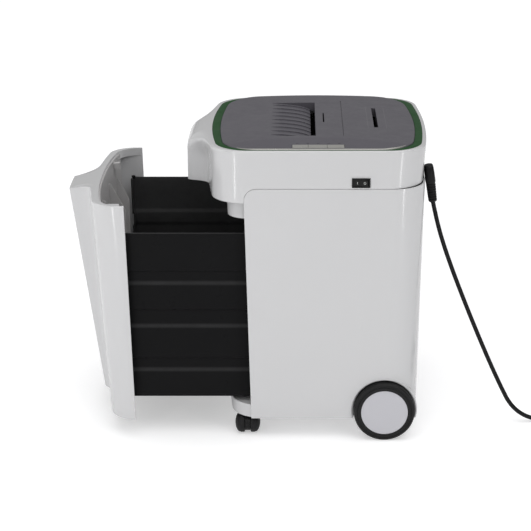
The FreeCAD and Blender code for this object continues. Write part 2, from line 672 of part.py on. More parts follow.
def gear_train():
    near, middle, far = GEAR_PLANES_X
    front_phase = 0.0
    rear_phase = mesh_phase(front_phase, CUTTER_TEETH, CUTTER_TEETH, 0.0)
    to_idler = direction_between(CUTTER_REAR, IDLER)
    idler_phase = mesh_phase(rear_phase, CUTTER_TEETH, IDLER_TEETH, to_idler)
    to_cd = direction_between(IDLER, CD_FRONT)
    cd_front_phase = mesh_phase(idler_phase, IDLER_TEETH, CD_TEETH, to_cd)
    cd_rear_phase = mesh_phase(cd_front_phase, CD_TEETH, CD_TEETH, 0.0)
    small_phase = mesh_phase(front_phase, CUTTER_TEETH, SMALL_TEETH, INNER_DIRECTION)
    outer_small_phase = mesh_phase(0.0, INNER_LARGE_TEETH, SMALL_TEETH, OUTER_DIRECTION)
    pinion_phase = mesh_phase(0.0, OUTER_LARGE_TEETH, SMALL_TEETH, MOTOR_DIRECTION)

    save("cutter_gear_front",
         about_x(gear(CUTTER_TEETH, front_phase, GEAR_WIDTH, JOURNAL_RADIUS), near, CUTTER_FRONT))
    save("cutter_gear_rear",
         about_x(gear(CUTTER_TEETH, rear_phase, GEAR_WIDTH, JOURNAL_RADIUS), near, CUTTER_REAR))
    pin_bore = PIN_RADIUS + RUNNING_FIT
    save("idler_gear", about_x(gear(IDLER_TEETH, idler_phase, GEAR_WIDTH, pin_bore), near, IDLER))
    for name, centre, phase in (("cd_roller_front", CD_FRONT, cd_front_phase),
                                ("cd_roller_rear", CD_REAR, cd_rear_phase)):
        save(name, cd_roller(name, centre, phase, near))
    save("compound_gear_inner",
         compound(INNER_LARGE_TEETH, 0.0, middle, small_phase, near, INNER, pin_bore))
    save("compound_gear_outer",
         compound(OUTER_LARGE_TEETH, 0.0, far, outer_small_phase, middle, OUTER, pin_bore))
    pinion = about_x(gear(SMALL_TEETH, pinion_phase, GEAR_WIDTH, 2.5), far, MOTOR)
    shaft = x_cylinder(2.5, far, PLATE_GEAR_X[0] + 3, *MOTOR)
    save("motor_pinion", joined([pinion, shaft]))

    plate_x = PLATE_GEAR_X[0]
    save("gear_pins", x_cylinder(PIN_RADIUS, near - 1, plate_x, *IDLER),
         x_cylinder(PIN_RADIUS, middle - 0.5, plate_x, *INNER),
         x_cylinder(PIN_RADIUS, far - 1, plate_x, *OUTER))


def compound(large_teeth, large_phase, large_x, small_phase, small_x, centre, bore):
    large = about_x(gear(large_teeth, large_phase, GEAR_WIDTH, bore), large_x, centre)
    small = about_x(gear(SMALL_TEETH, small_phase, GEAR_WIDTH, bore), small_x, centre)
    collar = tube_x(SMALL_TEETH / 2 - DEDENDUM, bore, large_x + GEAR_WIDTH - 1, small_x + 1,
                    *centre)
    return joined([large, small, collar])


# ---------------------------------------------------------------- cutter block
def cutting_disc(x, centre, radius, bore, turn, thickness):
    disc = tube_x(radius, bore, x - thickness / 2, x + thickness / 2, *centre)
    for quarter in range(4):
        hook = box(x - 5, x + 5, centre[0] - 2.6, centre[0], centre[1] + radius - 2.4,
                   centre[1] + radius + 3)
        hook.rotate(V(x, *centre), V(1, 0, 0), quarter * 90 + turn)
        disc = disc.cut(hook)
    return disc


def cutter_shaft(centre):
    core = x_cylinder(CUTTER_CORE_RADIUS, PLATE_GEAR_X[1] + 0.6, PLATE_FAR_X[0] - 0.6, *centre)
    journal = x_cylinder(JOURNAL_RADIUS, GEAR_PLANES_X[0] - 0.6, PLATE_FAR_X[1] + 3, *centre)
    return joined([core, journal])


def cutter_discs(centre, shift, twist):
    first = FEED_CENTRE_X - DISC_PITCH * (DISC_COUNT - 1) / 2 - DISC_PITCH / 4 + shift
    return [cutting_disc(first + index * DISC_PITCH, centre, CUTTER_RADIUS, CUTTER_CORE_RADIUS,
                         index * twist, DISC_THICKNESS) for index in range(DISC_COUNT)]


def comb(centre, side, shift):
    """Stripper comb: one finger in each gap between the discs of a shaft."""
    bar_near = centre[0] + side * (CUTTER_RADIUS + 2)
    bar_far = bar_near + side * 5
    bar = box(PLATE_GEAR_X[1], PLATE_FAR_X[0], min(bar_near, bar_far), max(bar_near, bar_far),
              CUTTER_Z - 9, CUTTER_Z + 9)
    fingers = [bar]
    first = FEED_CENTRE_X - DISC_PITCH * (DISC_COUNT - 1) / 2 - DISC_PITCH / 4 + shift
    tip = centre[0] + side * (CUTTER_CORE_RADIUS + 1)
    for index in range(DISC_COUNT - 1):
        x = first + (index + 0.5) * DISC_PITCH
        fingers.append(box(x - 1.5, x + 1.5, min(bar_far, tip), max(bar_far, tip),
                           CUTTER_Z - 6, CUTTER_Z + 6))
    return joined(fingers)


def cd_roller(name, centre, phase, gear_x):
    shift = 5.0 if name.endswith("rear") else 0.0
    parts = [x_cylinder(6, PLATE_GEAR_X[1] + 0.6, PLATE_FAR_X[0] - 0.6, *centre),
             x_cylinder(CD_JOURNAL_RADIUS, gear_x - 0.6, PLATE_FAR_X[1] + 3, *centre),
             about_x(gear(CD_TEETH, phase, GEAR_WIDTH, CD_JOURNAL_RADIUS - 0.5), gear_x, centre)]
    for index in range(-6, 7):
        x = CD_CENTRE_X + index * DISC_PITCH - DISC_PITCH / 4 + shift
        parts.append(cutting_disc(x, centre, CD_DISC_RADIUS, 5.5, index * 20, DISC_THICKNESS))
    return joined(parts)


def frame_plate(span_x, y_front):
    plate = prism_x([(y_front, 393), (y_front, 478), (y_front + 10, 486), (252, 486), (262, 476),
                     (262, 393)], *span_x)
    for centre in (CUTTER_FRONT, CUTTER_REAR):
        plate = plate.cut(x_cylinder(9, -200, 200, *centre))
    for centre in (CD_FRONT, CD_REAR):
        plate = plate.cut(x_cylinder(7, -200, 200, *centre))
    return plate


def cutter_block():
    save("cutter_shaft_front", cutter_shaft(CUTTER_FRONT))
    save("cutter_shaft_rear", cutter_shaft(CUTTER_REAR))
    save("cutter_discs_front", *cutter_discs(CUTTER_FRONT, 0.0, 17))
    save("cutter_discs_rear", *cutter_discs(CUTTER_REAR, DISC_PITCH / 2, -17))
    save("comb_front", comb(CUTTER_FRONT, -1, 0.0))
    save("comb_rear", comb(CUTTER_REAR, 1, DISC_PITCH / 2))

    gear_side = frame_plate(PLATE_GEAR_X, 0)
    gear_side = gear_side.cut(x_cylinder(6, -200, 0, *MOTOR))
    save("frame_plate_gear_side", gear_side)
    save("frame_plate_far_side", frame_plate(PLATE_FAR_X, 72))
    bushes = []
    for x0, x1 in (PLATE_GEAR_X, PLATE_FAR_X):
        for centre in (CUTTER_FRONT, CUTTER_REAR):
            bushes.append(tube_x(9, JOURNAL_RADIUS + RUNNING_FIT, x0, x1, *centre))
        for centre in (CD_FRONT, CD_REAR):
            bushes.append(tube_x(7, CD_JOURNAL_RADIUS + RUNNING_FIT, x0, x1, *centre))
    save("shaft_bushes", *bushes)
    rods = []
    for y, z in ((76, 479), (76, 428), (186, 428), (255, 474)):
        rods.append(x_cylinder(3, PLATE_GEAR_X[1], PLATE_FAR_X[0], y, z))
    save("tie_rods", *rods)

    case = x_cylinder(MOTOR_RADIUS, PLATE_GEAR_X[1], -48, *MOTOR)
    cap = x_cylinder(MOTOR_RADIUS - 5, -49, -40, *MOTOR)
    bearing = x_cylinder(8, -41, -34, *MOTOR)
    motor = joined([case, cap, bearing])
    save("motor_case", motor.cut(x_cylinder(2.5 + RUNNING_FIT, -130, PLATE_GEAR_X[1] + 3, *MOTOR)))

    cover = box(-158.5, PLATE_GEAR_X[0], 14, 256, 416, 484)
    cover = cover.cut(box(-156.5, PLATE_GEAR_X[0] + 1, 16, 254, 418, 482))
    save("gear_cover", cover)

    left = FEED_CENTRE_X - FEED_WIDTH / 2
    right = FEED_CENTRE_X + FEED_WIDTH / 2
    save("paper_guide", funnel(left, right, (108.5, 136), (119.5, 130.5), 479, 487.8))
    save("cd_guide", funnel(CD_SLOT[0] - 1.5, CD_SLOT[1] + 1.5, (214, 227), (216, 225), 480, 490))


def funnel(x0, x1, top_y, bottom_y, z0, z1):
    """An open-ended guide whose mouth narrows downwards."""
    def rectangle(y0, y1, z, grow):
        corners = [V(x0 - grow, y0 - grow, z), V(x1 + grow, y0 - grow, z),
                   V(x1 + grow, y1 + grow, z), V(x0 - grow, y1 + grow, z)]
        return Part.makePolygon(corners + [corners[0]])
    outer = Part.makeLoft([rectangle(*bottom_y, z0, 1.5), rectangle(*top_y, z1, 1.5)], True, True)
    inner = Part.makeLoft([rectangle(*bottom_y, z0, 0), rectangle(*top_y, z1, 0)], True, True)
    return outer.cut(inner)


# ---------------------------------------------------------------- drawer
def plain_panel_front(x, z):
    t = (z - PANEL_BOTTOM_Z) / (PANEL_TOP_Z - PANEL_BOTTOM_Z)
    return blend(-46, -67, t) + 13 * (abs(x) / 155) ** 2.4


def panel_front(x, z):
    """The front panel's outer face: a bowed face with a central bulge that tapers downwards."""
    t = (z - PANEL_BOTTOM_Z) / (PANEL_TOP_Z - PANEL_BOTTOM_Z)
    depth = blend(13, 42, t)
    outside = max(0.0, abs(x) - BULGE_HALF_WIDTH)
    return plain_panel_front(x, z) - depth * math.exp(-(outside / 11) ** 1.1)


def drawer_front_outline(z):
    return outline(BODY_HALF_WIDTH, lambda x: panel_front(x, z), bowed(90, 0, 1), 36, 20,
                   PANEL_STATIONS)


def inner_arc_outline(z, shift=0.0):
    """Plan of the space behind the panel's top: an arc in front, the side walls beside it."""
    t = (z - PANEL_BOTTOM_Z) / (PANEL_TOP_Z - PANEL_BOTTOM_Z)
    depth = blend(8, 13, t)
    return outline(BODY_HALF_WIDTH - WALL - GAP - shift,
                   lambda x: plain_panel_front(x, z) + depth + shift, bowed(100, 0, 1), 34, 10)


def front_panel():
    levels = (PANEL_BOTTOM_Z, 225.0, PANEL_TOP_Z)
    outer = loft([(drawer_front_outline(z), z) for z in levels])
    hollow_top = PANEL_TOP_Z - PANEL_SOLID_TOP
    hollow_levels = (PANEL_BOTTOM_Z - 2, 225.0, hollow_top)
    hollow = loft([(inset(drawer_front_outline(z), WALL), z) for z in hollow_levels])
    behind = loft([(inner_arc_outline(z), z) for z in (hollow_top - 5, PANEL_TOP_Z + 1)])
    panel = outer.cut(hollow).cut(behind)
    sloping_top = prism_x([(-130, BULGE_TOP_Z - 4), (-54, PANEL_TOP_Z), (-54, PANEL_TOP_Z + 20),
                           (-130, PANEL_TOP_Z + 20)], -80, 80)
    panel = panel.cut(sloping_top)
    shut_gap = 0.6
    slope = (CABINET_FRONT_BOTTOM_Y - CABINET_FRONT_TOP_Y) / (SEAM_Z - CABINET_BOTTOM_Z)
    rear_cut = prism_x([(CABINET_FRONT_TOP_Y + slope * SEAM_Z - shut_gap, 0),
                        (CABINET_FRONT_TOP_Y - shut_gap, SEAM_Z), (300, SEAM_Z), (300, 0)],
                       -250, 250)
    return panel.cut(rear_cut)


def panel_liner():
    """The grey plate that closes the back of the front panel, with gussets to the bin."""
    levels = (66.0, 225.0, PANEL_TOP_Z - 5)
    behind_front = loft([(inner_arc_outline(z, 0.1), z) for z in levels])
    behind_plate = loft([(inner_arc_outline(z, 2.6), z) for z in levels])
    middle = box(-150, 150, -200, BIN_FRONT_Y - 2, 0, 500)
    plate = behind_front.cut(behind_plate).common(middle)
    parts = [plate]
    overlap = loft([(inner_arc_outline(z, 1.5), z) for z in levels])
    for rib_x in GUSSETS_X:
        gusset = prism_x([(-80, 80), (BIN_FRONT_Y - 0.3, 80), (BIN_FRONT_Y - 0.3, 335),
                          (-45, 385), (-80, 385)], rib_x - 1.2, rib_x + 1.2)
        parts.append(gusset.common(overlap))
    pusher = box(INTERLOCK_X - 5, INTERLOCK_X + 5, -60, -34.6, INTERLOCK_Z - 5, INTERLOCK_Z + 5)
    parts.append(pusher.common(overlap))
    liner = joined(parts)
    for x in SCREWS_X:
        for z in SCREWS_Z:
            liner = liner.cut(cylinder(SCREW_RADIUS + RUNNING_FIT, (x, -80, z), (0, 1, 0), 70))
    return liner


def bin_front(z):
    """The bin's front wall, outer face, at height z."""
    return blend(BIN_FRONT_Y + 4, BIN_FRONT_Y, (z - BIN_BOTTOM_Z) / (BIN_TOP_Z - BIN_BOTTOM_Z))


def panel_screws():
    """Four screws from inside the bin, through its front wall, into the liner."""
    screws = []
    for x in SCREWS_X:
        for z in SCREWS_Z:
            head_y = bin_front(z) + BIN_WALL + 0.15
            lean = (z - PANEL_BOTTOM_Z) / (PANEL_TOP_Z - PANEL_BOTTOM_Z)
            tip_y = plain_panel_front(x, z) + blend(8, 13, lean) + 0.6
            head = cylinder(3.4, (x, head_y, z), (0, 1, 0), 2.2)
            shank = cylinder(SCREW_RADIUS, (x, tip_y, z), (0, 1, 0), head_y - tip_y)
            screws.append(head.fuse(shank).removeSplitter())
    return screws


def bin_outline(z, shrink=0.0):
    t = (z - BIN_BOTTOM_Z) / (BIN_TOP_Z - BIN_BOTTOM_Z)
    half_width = blend(BIN_HALF_BOTTOM, BIN_HALF_TOP, t) - shrink
    front = bin_front(z) + shrink
    rear = blend(BIN_REAR_Y - 4, BIN_REAR_Y, t) - shrink
    return [(-half_width, front), (half_width, front), (half_width, rear), (-half_width, rear)]


def frustum(lower, z0, upper, z1):
    wires = []
    for points, z in ((lower, z0), (upper, z1)):
        corners = [V(x, y, z) for x, y in points]
        wires.append(Part.makePolygon(corners + [corners[0]]))
    return Part.makeLoft(wires, True, True)


def bin_body():
    outer = frustum(bin_outline(BIN_BOTTOM_Z), BIN_BOTTOM_Z, bin_outline(BIN_TOP_Z), BIN_TOP_Z)
    upright = [edge for edge in outer.Edges if edge.BoundBox.ZLength > 200]
    outer = outer.makeFillet(10, upright)
    floor_z = BIN_BOTTOM_Z + BIN_WALL
    inner = frustum(bin_outline(floor_z, BIN_WALL), floor_z,
                    bin_outline(BIN_TOP_Z + 2, BIN_WALL), BIN_TOP_Z + 2)
    upright = [edge for edge in inner.Edges if edge.BoundBox.ZLength > 200]
    inner = inner.makeFillet(8, upright)
    walls = outer.cut(inner)
    for z0, z1 in BIN_BANDS_Z:
        band = box(-200, 200, BIN_FRONT_Y + 14, BIN_REAR_Y - 14, z0, z1)
        keep = frustum(bin_outline(z0, BIN_BAND_DEPTH), z0, bin_outline(z1, BIN_BAND_DEPTH), z1)
        walls = walls.cut(band.cut(keep))
    window = box(-BIN_WINDOW_HALF, BIN_WINDOW_HALF, BIN_FRONT_Y - 10, BIN_FRONT_Y + 9,
                 BIN_WINDOW_SILL_Z, BIN_TOP_Z + 20)
    lower_corners = [edge for edge in window.Edges
                     if edge.BoundBox.YLength > 15 and edge.BoundBox.ZMax < BIN_WINDOW_SILL_Z + 1]
    walls = walls.cut(window.makeFillet(14, lower_corners))
    for x in SCREWS_X:
        for z in SCREWS_Z:
            walls = walls.cut(cylinder(SCREW_RADIUS + 0.2, (x, BIN_FRONT_Y - 5, z), (0, 1, 0), 20))
    knob = cylinder(3.5, (-BIN_HALF_TOP + 4, BIN_FRONT_Y + 4, BIN_TOP_Z - 3), (0, 0, 1), 6)
    return joined([walls, knob])


def drawer():
    save("bin", bin_body(), moved_y=-DRAWER_OPEN)
    save("front_panel", front_panel(), moved_y=-DRAWER_OPEN)
    save("panel_liner", panel_liner(), moved_y=-DRAWER_OPEN)
    runner = box(131, 137, BIN_FRONT_Y + 8, BIN_REAR_Y - 8, BASE_TOP_Z + GAP, BIN_BOTTOM_Z)
    save("drawer_runners", *both_sides(runner), moved_y=-DRAWER_OPEN)
    save("base_rails", *both_sides(box(138, 144, 20, 284, BASE_TOP_Z, BASE_TOP_Z + 7)))
    save("panel_screws", *panel_screws(), moved_y=-DRAWER_OPEN)


# ---------------------------------------------------------------- cord
def rounded_path(points):
    """Straight runs joined by tangent arcs, each as large as its two runs allow."""
    nodes = [V(*point) for point in points]
    edges = []
    radii = []
    start = nodes[0]
    for before, corner, after in zip(nodes, nodes[1:], nodes[2:]):
        arriving = (corner - before).normalize()
        leaving = (after - corner).normalize()
        half_turn = arriving.getAngle(leaving) / 2
        tangent = 0.45 * min((corner - before).Length, (after - corner).Length)
        radius = tangent / math.tan(half_turn)
        radii.append(radius)
        arc_start = corner - arriving * tangent
        arc_end = corner + leaving * tangent
        inwards = (leaving - arriving).normalize()
        middle = corner + inwards * (radius / math.cos(half_turn) - radius)
        edges.append(Part.LineSegment(start, arc_start).toShape())
        edges.append(Part.Arc(arc_start, middle, arc_end).toShape())
        start = arc_end
    edges.append(Part.LineSegment(start, nodes[-1]).toShape())
    return Part.Wire(edges), radii


def round_tube(points):
    path, radii = rounded_path(points)
    start = V(*points[0])
    direction = V(*points[1]) - start
    section = Part.Wire(Part.makeCircle(CORD_DIAMETER / 2, start, direction))
    tube = path.makePipeShell([section], True, False)
    expected = math.pi * CORD_DIAMETER ** 2 / 4 * path.Length
    print("tube %.1f mm long, volume %.4f of section times length, radii %s"
          % (path.Length, tube.Volume / expected, " ".join("%.0f" % radius for radius in radii)))
    return tube, path.Length


def rounded_section(centre, width, depth, direction, corner):
    """A rounded rectangle across a direction that lies in the YZ plane; width runs along X."""
    along = V(*direction).normalize()
    side = V(1, 0, 0)
    across = along.cross(side).normalize()
    middle = V(*centre)
    half_w = width / 2 - corner
    half_d = depth / 2 - corner
    edges = []
    previous = None
    first = None
    for quarter, (sx, sy) in enumerate(((1, 1), (-1, 1), (-1, -1), (1, -1))):
        centre_point = middle + side * (sx * half_w) + across * (sy * half_d)
        angles = [math.radians(quarter * 90 + step) for step in (0, 45, 90)]
        points = [centre_point + side * (corner * math.cos(a)) + across * (corner * math.sin(a))
                  for a in angles]
        if previous is None:
            first = points[0]
        else:
            edges.append(Part.LineSegment(previous, points[0]).toShape())
        edges.append(Part.Arc(*points).toShape())
        previous = points[2]
    edges.append(Part.LineSegment(previous, first).toShape())
    return Part.Wire(edges)


def cord_set():
    down = (0, 8.5, -63)
    sections = (((110, 304.8, 466), 20, 12.4, 5.5), ((110, 305.4, 461), 25, 15.2, 6.5),
                ((110, 307.6, 445), 26, 16.0, 7.0), ((110, 310.0, 428), 20, 15.6, 7.0),
                ((110, 312.0, 415), 16, 14.4, 6.9), ((110, 314.0, 403), 12.6, 12.4, 6.0))
    wires = [rounded_section(centre, width, depth, down, corner)
             for centre, width, depth, corner in sections]
    connector = Part.makeLoft(wires, True, False)
    tongue = box(99, 121, 297.2, 306, 448.5, 463.5)
    save("connector", joined([connector, tongue]))

    tube, tube_length = round_tube(CORD_ROUTE)
    tail, tail_length = round_tube(TAIL_ROUTE)
    save("cord_tube", tube, tail)
    last_x, last_y, last_z = CORD_ROUTE[-1]
    ring_step = CORD_DIAMETER / 2
    centre_x = last_x - COIL_MEAN_RADIUS - ring_step
    height = 2 * CORD_DIAMETER + FLOOR_LIFT
    outer = COIL_MEAN_RADIUS + CORD_DIAMETER + 0.2
    inner = COIL_MEAN_RADIUS - CORD_DIAMETER - 0.2
    coil = Part.makeCylinder(outer, height, V(centre_x, last_y, FLOOR_LIFT))
    coil = coil.cut(Part.makeCylinder(inner, height + 2, V(centre_x, last_y, -1)))
    coil = coil.makeFillet(3.0, [edge for edge in coil.Edges if len(edge.Vertexes) == 1])
    save("cord_coil", coil)
    tie_y = last_y
    tie_x = centre_x - COIL_MEAN_RADIUS
    outside = box(tie_x - 9.0, tie_x + 9.0, tie_y - 5, tie_y + 5, 0.02, height + 1.1)
    inside = box(tie_x - 7.9, tie_x + 7.9, tie_y - 6, tie_y + 6, 0.12, height + 0.2)
    save("cord_tie", outside.cut(inside))

    end = V(*TAIL_ROUTE[-1])
    heading = (end - V(*TAIL_ROUTE[-2])).normalize()
    heading = V(heading.x, heading.y, 0).normalize()
    body = Part.makeBox(PLUG_LENGTH, 26, 24, V(0, -13, -12))
    body = body.makeFillet(5, body.Edges)
    relief = Part.makeCone(CORD_DIAMETER / 2 + 1, 7.5, 22, V(-20, 0, 0), V(1, 0, 0))
    pins = [Part.makeBox(19, 1.5, 6.3, V(PLUG_LENGTH - 2, offset - 0.75, -5))
            for offset in (-6.35, 6.35)]
    pins.append(Part.makeCylinder(2.4, 21, V(PLUG_LENGTH - 2, 0, 6), V(1, 0, 0)))
    plug = joined([body, relief] + pins)
    turn = math.degrees(math.atan2(heading.y, heading.x))
    plug.rotate(V(0, 0, 0), V(0, 0, 1), turn)
    plug.translate(V(end.x + heading.x * 18, end.y + heading.y * 18, 12.5))
    save("mains_plug", plug)
    total = tube_length + tail_length + COIL_TURNS * 2 * math.pi * COIL_MEAN_RADIUS
    print("cord length with its coil: %.0f mm" % total)


save("cabinet_shell", cabinet_shell())
save("base_plate", base_plate())
running_gear()
head_parts()
gear_train()
cutter_block()
drawer()
cord_set()
print("motor %s idler %s inner %s outer %s" % (MOTOR, IDLER, INNER, OUTER))
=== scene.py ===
import json
from math import atan2, copysign, cos, exp, hypot, log1p, pi, radians, sin, sqrt, tan

import bmesh
import bpy
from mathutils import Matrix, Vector


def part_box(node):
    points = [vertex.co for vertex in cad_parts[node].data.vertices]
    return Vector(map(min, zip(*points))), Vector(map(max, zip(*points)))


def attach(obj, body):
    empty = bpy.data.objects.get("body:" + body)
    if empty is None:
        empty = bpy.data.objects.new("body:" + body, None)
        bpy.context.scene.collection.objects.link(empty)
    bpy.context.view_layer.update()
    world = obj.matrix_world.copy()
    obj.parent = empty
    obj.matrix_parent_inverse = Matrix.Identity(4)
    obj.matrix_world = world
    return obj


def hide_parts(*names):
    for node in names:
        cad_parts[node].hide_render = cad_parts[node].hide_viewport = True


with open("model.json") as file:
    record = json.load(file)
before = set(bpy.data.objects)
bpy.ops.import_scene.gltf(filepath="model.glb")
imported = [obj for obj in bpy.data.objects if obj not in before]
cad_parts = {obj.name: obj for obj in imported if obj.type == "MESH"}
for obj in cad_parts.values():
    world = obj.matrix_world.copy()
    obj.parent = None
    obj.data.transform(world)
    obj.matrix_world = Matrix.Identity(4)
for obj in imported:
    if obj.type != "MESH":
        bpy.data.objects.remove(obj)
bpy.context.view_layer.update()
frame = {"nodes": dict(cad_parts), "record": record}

MM = 0.001


def node_box(node):
    """Lowest and highest corner of a CAD node, in millimetres."""
    low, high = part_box(node)
    return low / MM, high / MM


# ---- sizes, millimetres
WALL = 3.0
GAP = 0.4
BODY_HALF_WIDTH = 181.0
DRAWER_OPEN = 196.5

# cabinet
CABINET_BOTTOM_Z = node_box("cabinet_shell")[0].z
SEAM_Z = 445.0
CABINET_REAR_TOP_Y = 300.5
CABINET_REAR_BOTTOM_Y = 294.0
CABINET_REAR_BOW = -4.0
CABINET_TAPER = 1.5
CABINET_FRONT_BOTTOM_Y = 9.0
CABINET_FRONT_CORNER = 20.0
CABINET_REAR_CORNER = 50.0

# bowed edges, here and below, are (y at the middle, bow, half width that the bow is measured at)
# head: its rear is (at the seam, at the rim)
HEAD_BOTTOM_Z = node_box("head_housing")[0].z
HEAD_FRONT = (-64.0, 10.0, 136.0)
HEAD_REAR_Y = (301.0, 305.4)
HEAD_REAR_BOW = (-7.0, 136.0)
HEAD_FRONT_CORNER = 45.0
HEAD_LOWER_ROUNDING = 1.2
HEAD_LEVELS_Z = (454.0, 460.0, 466.0, 471.0, 475.0)
RIM_Z = 509.5
RIM_ROUNDING = 3.2
HEAD_INNER_Z = (RIM_Z - 9.0, 485.0, 470.0, HEAD_LEVELS_Z[0])
# nose: it runs out sideways over a longer way towards its top
NOSE_DEPTH = 36.0
NOSE_HALF_WIDTH = 42.0
NOSE_EDGE_Z = 478.0
NOSE_WIDENING_Z = (462.0, 505.0)
NOSE_RUN_OUT = (9.0, 49.0)
NOSE_POWER = 1.3

# trim ring: its profile as (share of the way across, height above the rim)
RING_HALF_WIDTH = 177.0
RING_FRONT = (-57.5, 11.0, 136.0)
RING_REAR = (299.0, -8.0, 136.0)
RING_CORNERS = (46.0, 48.0)
RING_FOOT = -8.0
RING_PROFILE = ((0.0, RING_FOOT), (0.0, -0.5), (0.03, -0.1), (0.12, 0.15), (0.5, 0.35),
                (0.88, 0.15), (0.97, -0.1), (1.0, -0.5))
RING_FLANGE_WIDTH = 2.5
RING_FLANGE_LIFT = -5.0

# lid panel
LID_HALF_WIDTH = 173.6
LID_FRONT = (-43.5, 7.5, 124.0)
LID_REAR = (286.8, -10.0, 137.0)
LID_CORNERS = (50.0, 50.0)
LID_CREST_Z = node_box("top_panel")[1].z
LID_CREST_Y = 121.0
LID_CROWN_RADIUS = 2700.0
BEVEL_START_X = 121.0
BEVEL_START_DROP = 0.6
BEVEL_SLOPE = radians(7.7)
FEED_X = (-119.0, 106.0)
RAMP_START_Y = 43.0
FEED_WALL_Y = 118.0
FEED_SLOT_WIDTH = 8.0
RAMP_DEPTH = 12.0
RIB_COUNT = 9
RIB_HEIGHT = 2.3
RIB_HALF_WIDTH = 1.1
CARD_SLOT = (-45.0, 17.0, 131.0, 133.4)
CD_SLOT = (-85.6, 45.8, 217.0, 224.0)
GROOVE = (-129.0, 104.0, 163.5, 164.5)
SLOT_DEPTH = 16.0
GROOVE_DEPTH = 1.3
KEY_POCKET_DEPTH = 2.5
# rings from the lid's grid out to its outline: share of the way, drop below the surface
LID_RINGS = ((0.15, 0.0), (0.3, 0.0), (0.45, 0.0), (0.6, 0.0), (0.75, 0.0), (0.88, 0.0),
             (0.95, 0.0), (0.975, 0.15), (0.99, 0.6), (1.0, 1.5), (1.0, 12.0))
# the lid's grid, as (from, to, step)
LID_GRID_X = (-158.0, 166.5, 6.0)
LID_GRID_Y = (8.0, 236.0, 4.5)
KEYS_Y = (79.0, 164.0)
KEY_CENTRE_X = 155.5
KEY_WIDTH = 12.0

# beads and marks on the lid: a bead's section is (share of the width, share of the height)
STRIP_SECTION = ((-0.5, -0.3), (-0.5, 0.5), (-0.3, 0.9), (0.0, 1.0), (0.3, 0.9), (0.5, 0.5),
                 (0.5, -0.3))
LIP_INSET = 2.4
LIP_MIN_X = 100.0
LIP_ENDS_Y = (-14.0, 266.0)
LIP_WIDTH = 4.2
LIP_HEIGHT = 2.9
MARK_HEIGHT = 0.12
KEY_MARKS = 5

# switch
SWITCH_CENTRE = (191.0, 456.0)
SWITCH_BEZEL = (30.0, 16.0)
MARK_SHIFT = 6.0

# drawer front, shut place: pairs are (at the bottom, at the top)
PANEL_BOTTOM_Z = node_box("front_panel")[0].z
PANEL_TOP_Z = 416.0
PANEL_SOLID_TOP = 14.0
PANEL_ROUNDING = 1.8
PANEL_CORNER = 36.0
PANEL_BACK_CORNER = 34.0
PANEL_FRONT_Y = (-46.0, -67.0)
PANEL_THICKNESS = (8.0, 13.0)
PANEL_BOW = 13.0
PANEL_BOW_HALF_WIDTH = 155.0
PANEL_BOW_POWER = 2.4
BULGE_DEPTH = (13.0, 42.0)
BULGE_HALF_WIDTH = 36.0
BULGE_RUN_OUT = 11.0
BULGE_POWER = 1.1
# the upper edge falls to this height at this place, over this way
BULGE_TOP_Z = 400.0
BULGE_TOP_Y = -130.0
BULGE_TOP_WAY = 76.0

# bin, shut place
BIN_BOTTOM_Z = node_box("bin")[0].z
BIN_TOP_Z = 365.0
BIN_HALF_TOP = 165.0
BIN_HALF_BOTTOM = 160.0
BIN_FRONT_Y = -20.0
BIN_REAR_Y = 272.0
BIN_TAPER_Y = 4.0
BIN_BANDS_Z = ((281.0, 297.0), (204.0, 228.0), (124.0, 140.0))
BIN_BAND_DEPTH = 2.2
BIN_BAND_SLOPE = 9.0
BIN_BAND_STEP = 1.6
BIN_WINDOW_HALF = 150.0
BIN_WINDOW_SILL_Z = 240.0
BIN_WINDOW_CORNER = 14.0
# the bin's rings as (height above the bottom or the top, inset, corner radius)
BIN_FOOT = ((0.0, 3.5, 7.0), (0.8, 0.8, 9.2))
BIN_BRIM = ((-0.3, 0.3, 9.7), (0.0, 1.0, 9.0), (0.0, WALL - 0.9, 8.0), (-0.3, WALL - 0.3, 7.5))
BIN_FLOOR = ((9.0, WALL, 7.0), (5.0, WALL + 1.4, 6.0), (WALL, WALL + 5.5, 4.0))
BIN_CORNER = 10.0
BIN_INNER_CORNER = 7.0
# knob on the bin's brim: its profile as (radius, height above the brim), below its flat top
KNOB_INSET = 4.0
KNOB_PROFILE = ((2.6, -3.0), (2.9, 0.5), (3.5, 1.0), (3.5, 2.3))
KNOB_TOP_RADII = (2.9, 0.3)
# painted light: how much paler the faces that look into the bin are painted, for light falling into
# it, and the painted highlight that faces get on top for facing up
PAINTED_LIGHT_INSIDE = 0.85
PAINTED_HIGHLIGHT_FACING_UP = 1.6

# drawer front's corner tab, shut place: its plan, and its layers as (inset, height)
TAB_PLAN = (164.8, 176.5, -28.0, -8.0)
TAB_CORNER = 2.0
TAB_LAYERS = ((0.8, 409.5), (0.0, 410.3), (0.0, 415.0), (0.3, 415.7), (1.2, 415.9))

# running gear
REAR_WHEEL_RADIUS = 52.0
REAR_WHEEL_Y = 235.3
REAR_WHEEL_X = (170.0, 190.0)
TYRE_INNER_RADIUS = 39.5
ARCH_RADIUS = 56.0
ARCH_X = 180.0
ARCH_CUT_HALF = 20.0
AXIS_RADIUS = 0.05
# tread with two grooves: distance out from the inner face, drop below the full radius
TYRE_TREAD = ((0.0, 3.5), (1.0, 1.0), (3.0, 0.1), (6.6, 0.0), (7.0, 0.9), (7.9, 0.9), (8.3, 0.0),
              (12.1, 0.0), (12.5, 0.9), (13.4, 0.9), (13.8, 0.0))
# shoulder and side wall: distance in from the outer face, drop below the full radius
TYRE_SHOULDER = ((3.4, 0.3), (1.5, 1.6), (0.5, 3.6), (0.1, 5.2), (0.9, 5.6), (0.9, 6.4),
                 (0.1, 6.8))
# inner lip: distance in from the outer face, rise above the tyre's inner radius
TYRE_LIP = ((0.1, 3.0), (0.6, 1.6), (1.0, 0.9), (1.0, 0.0))
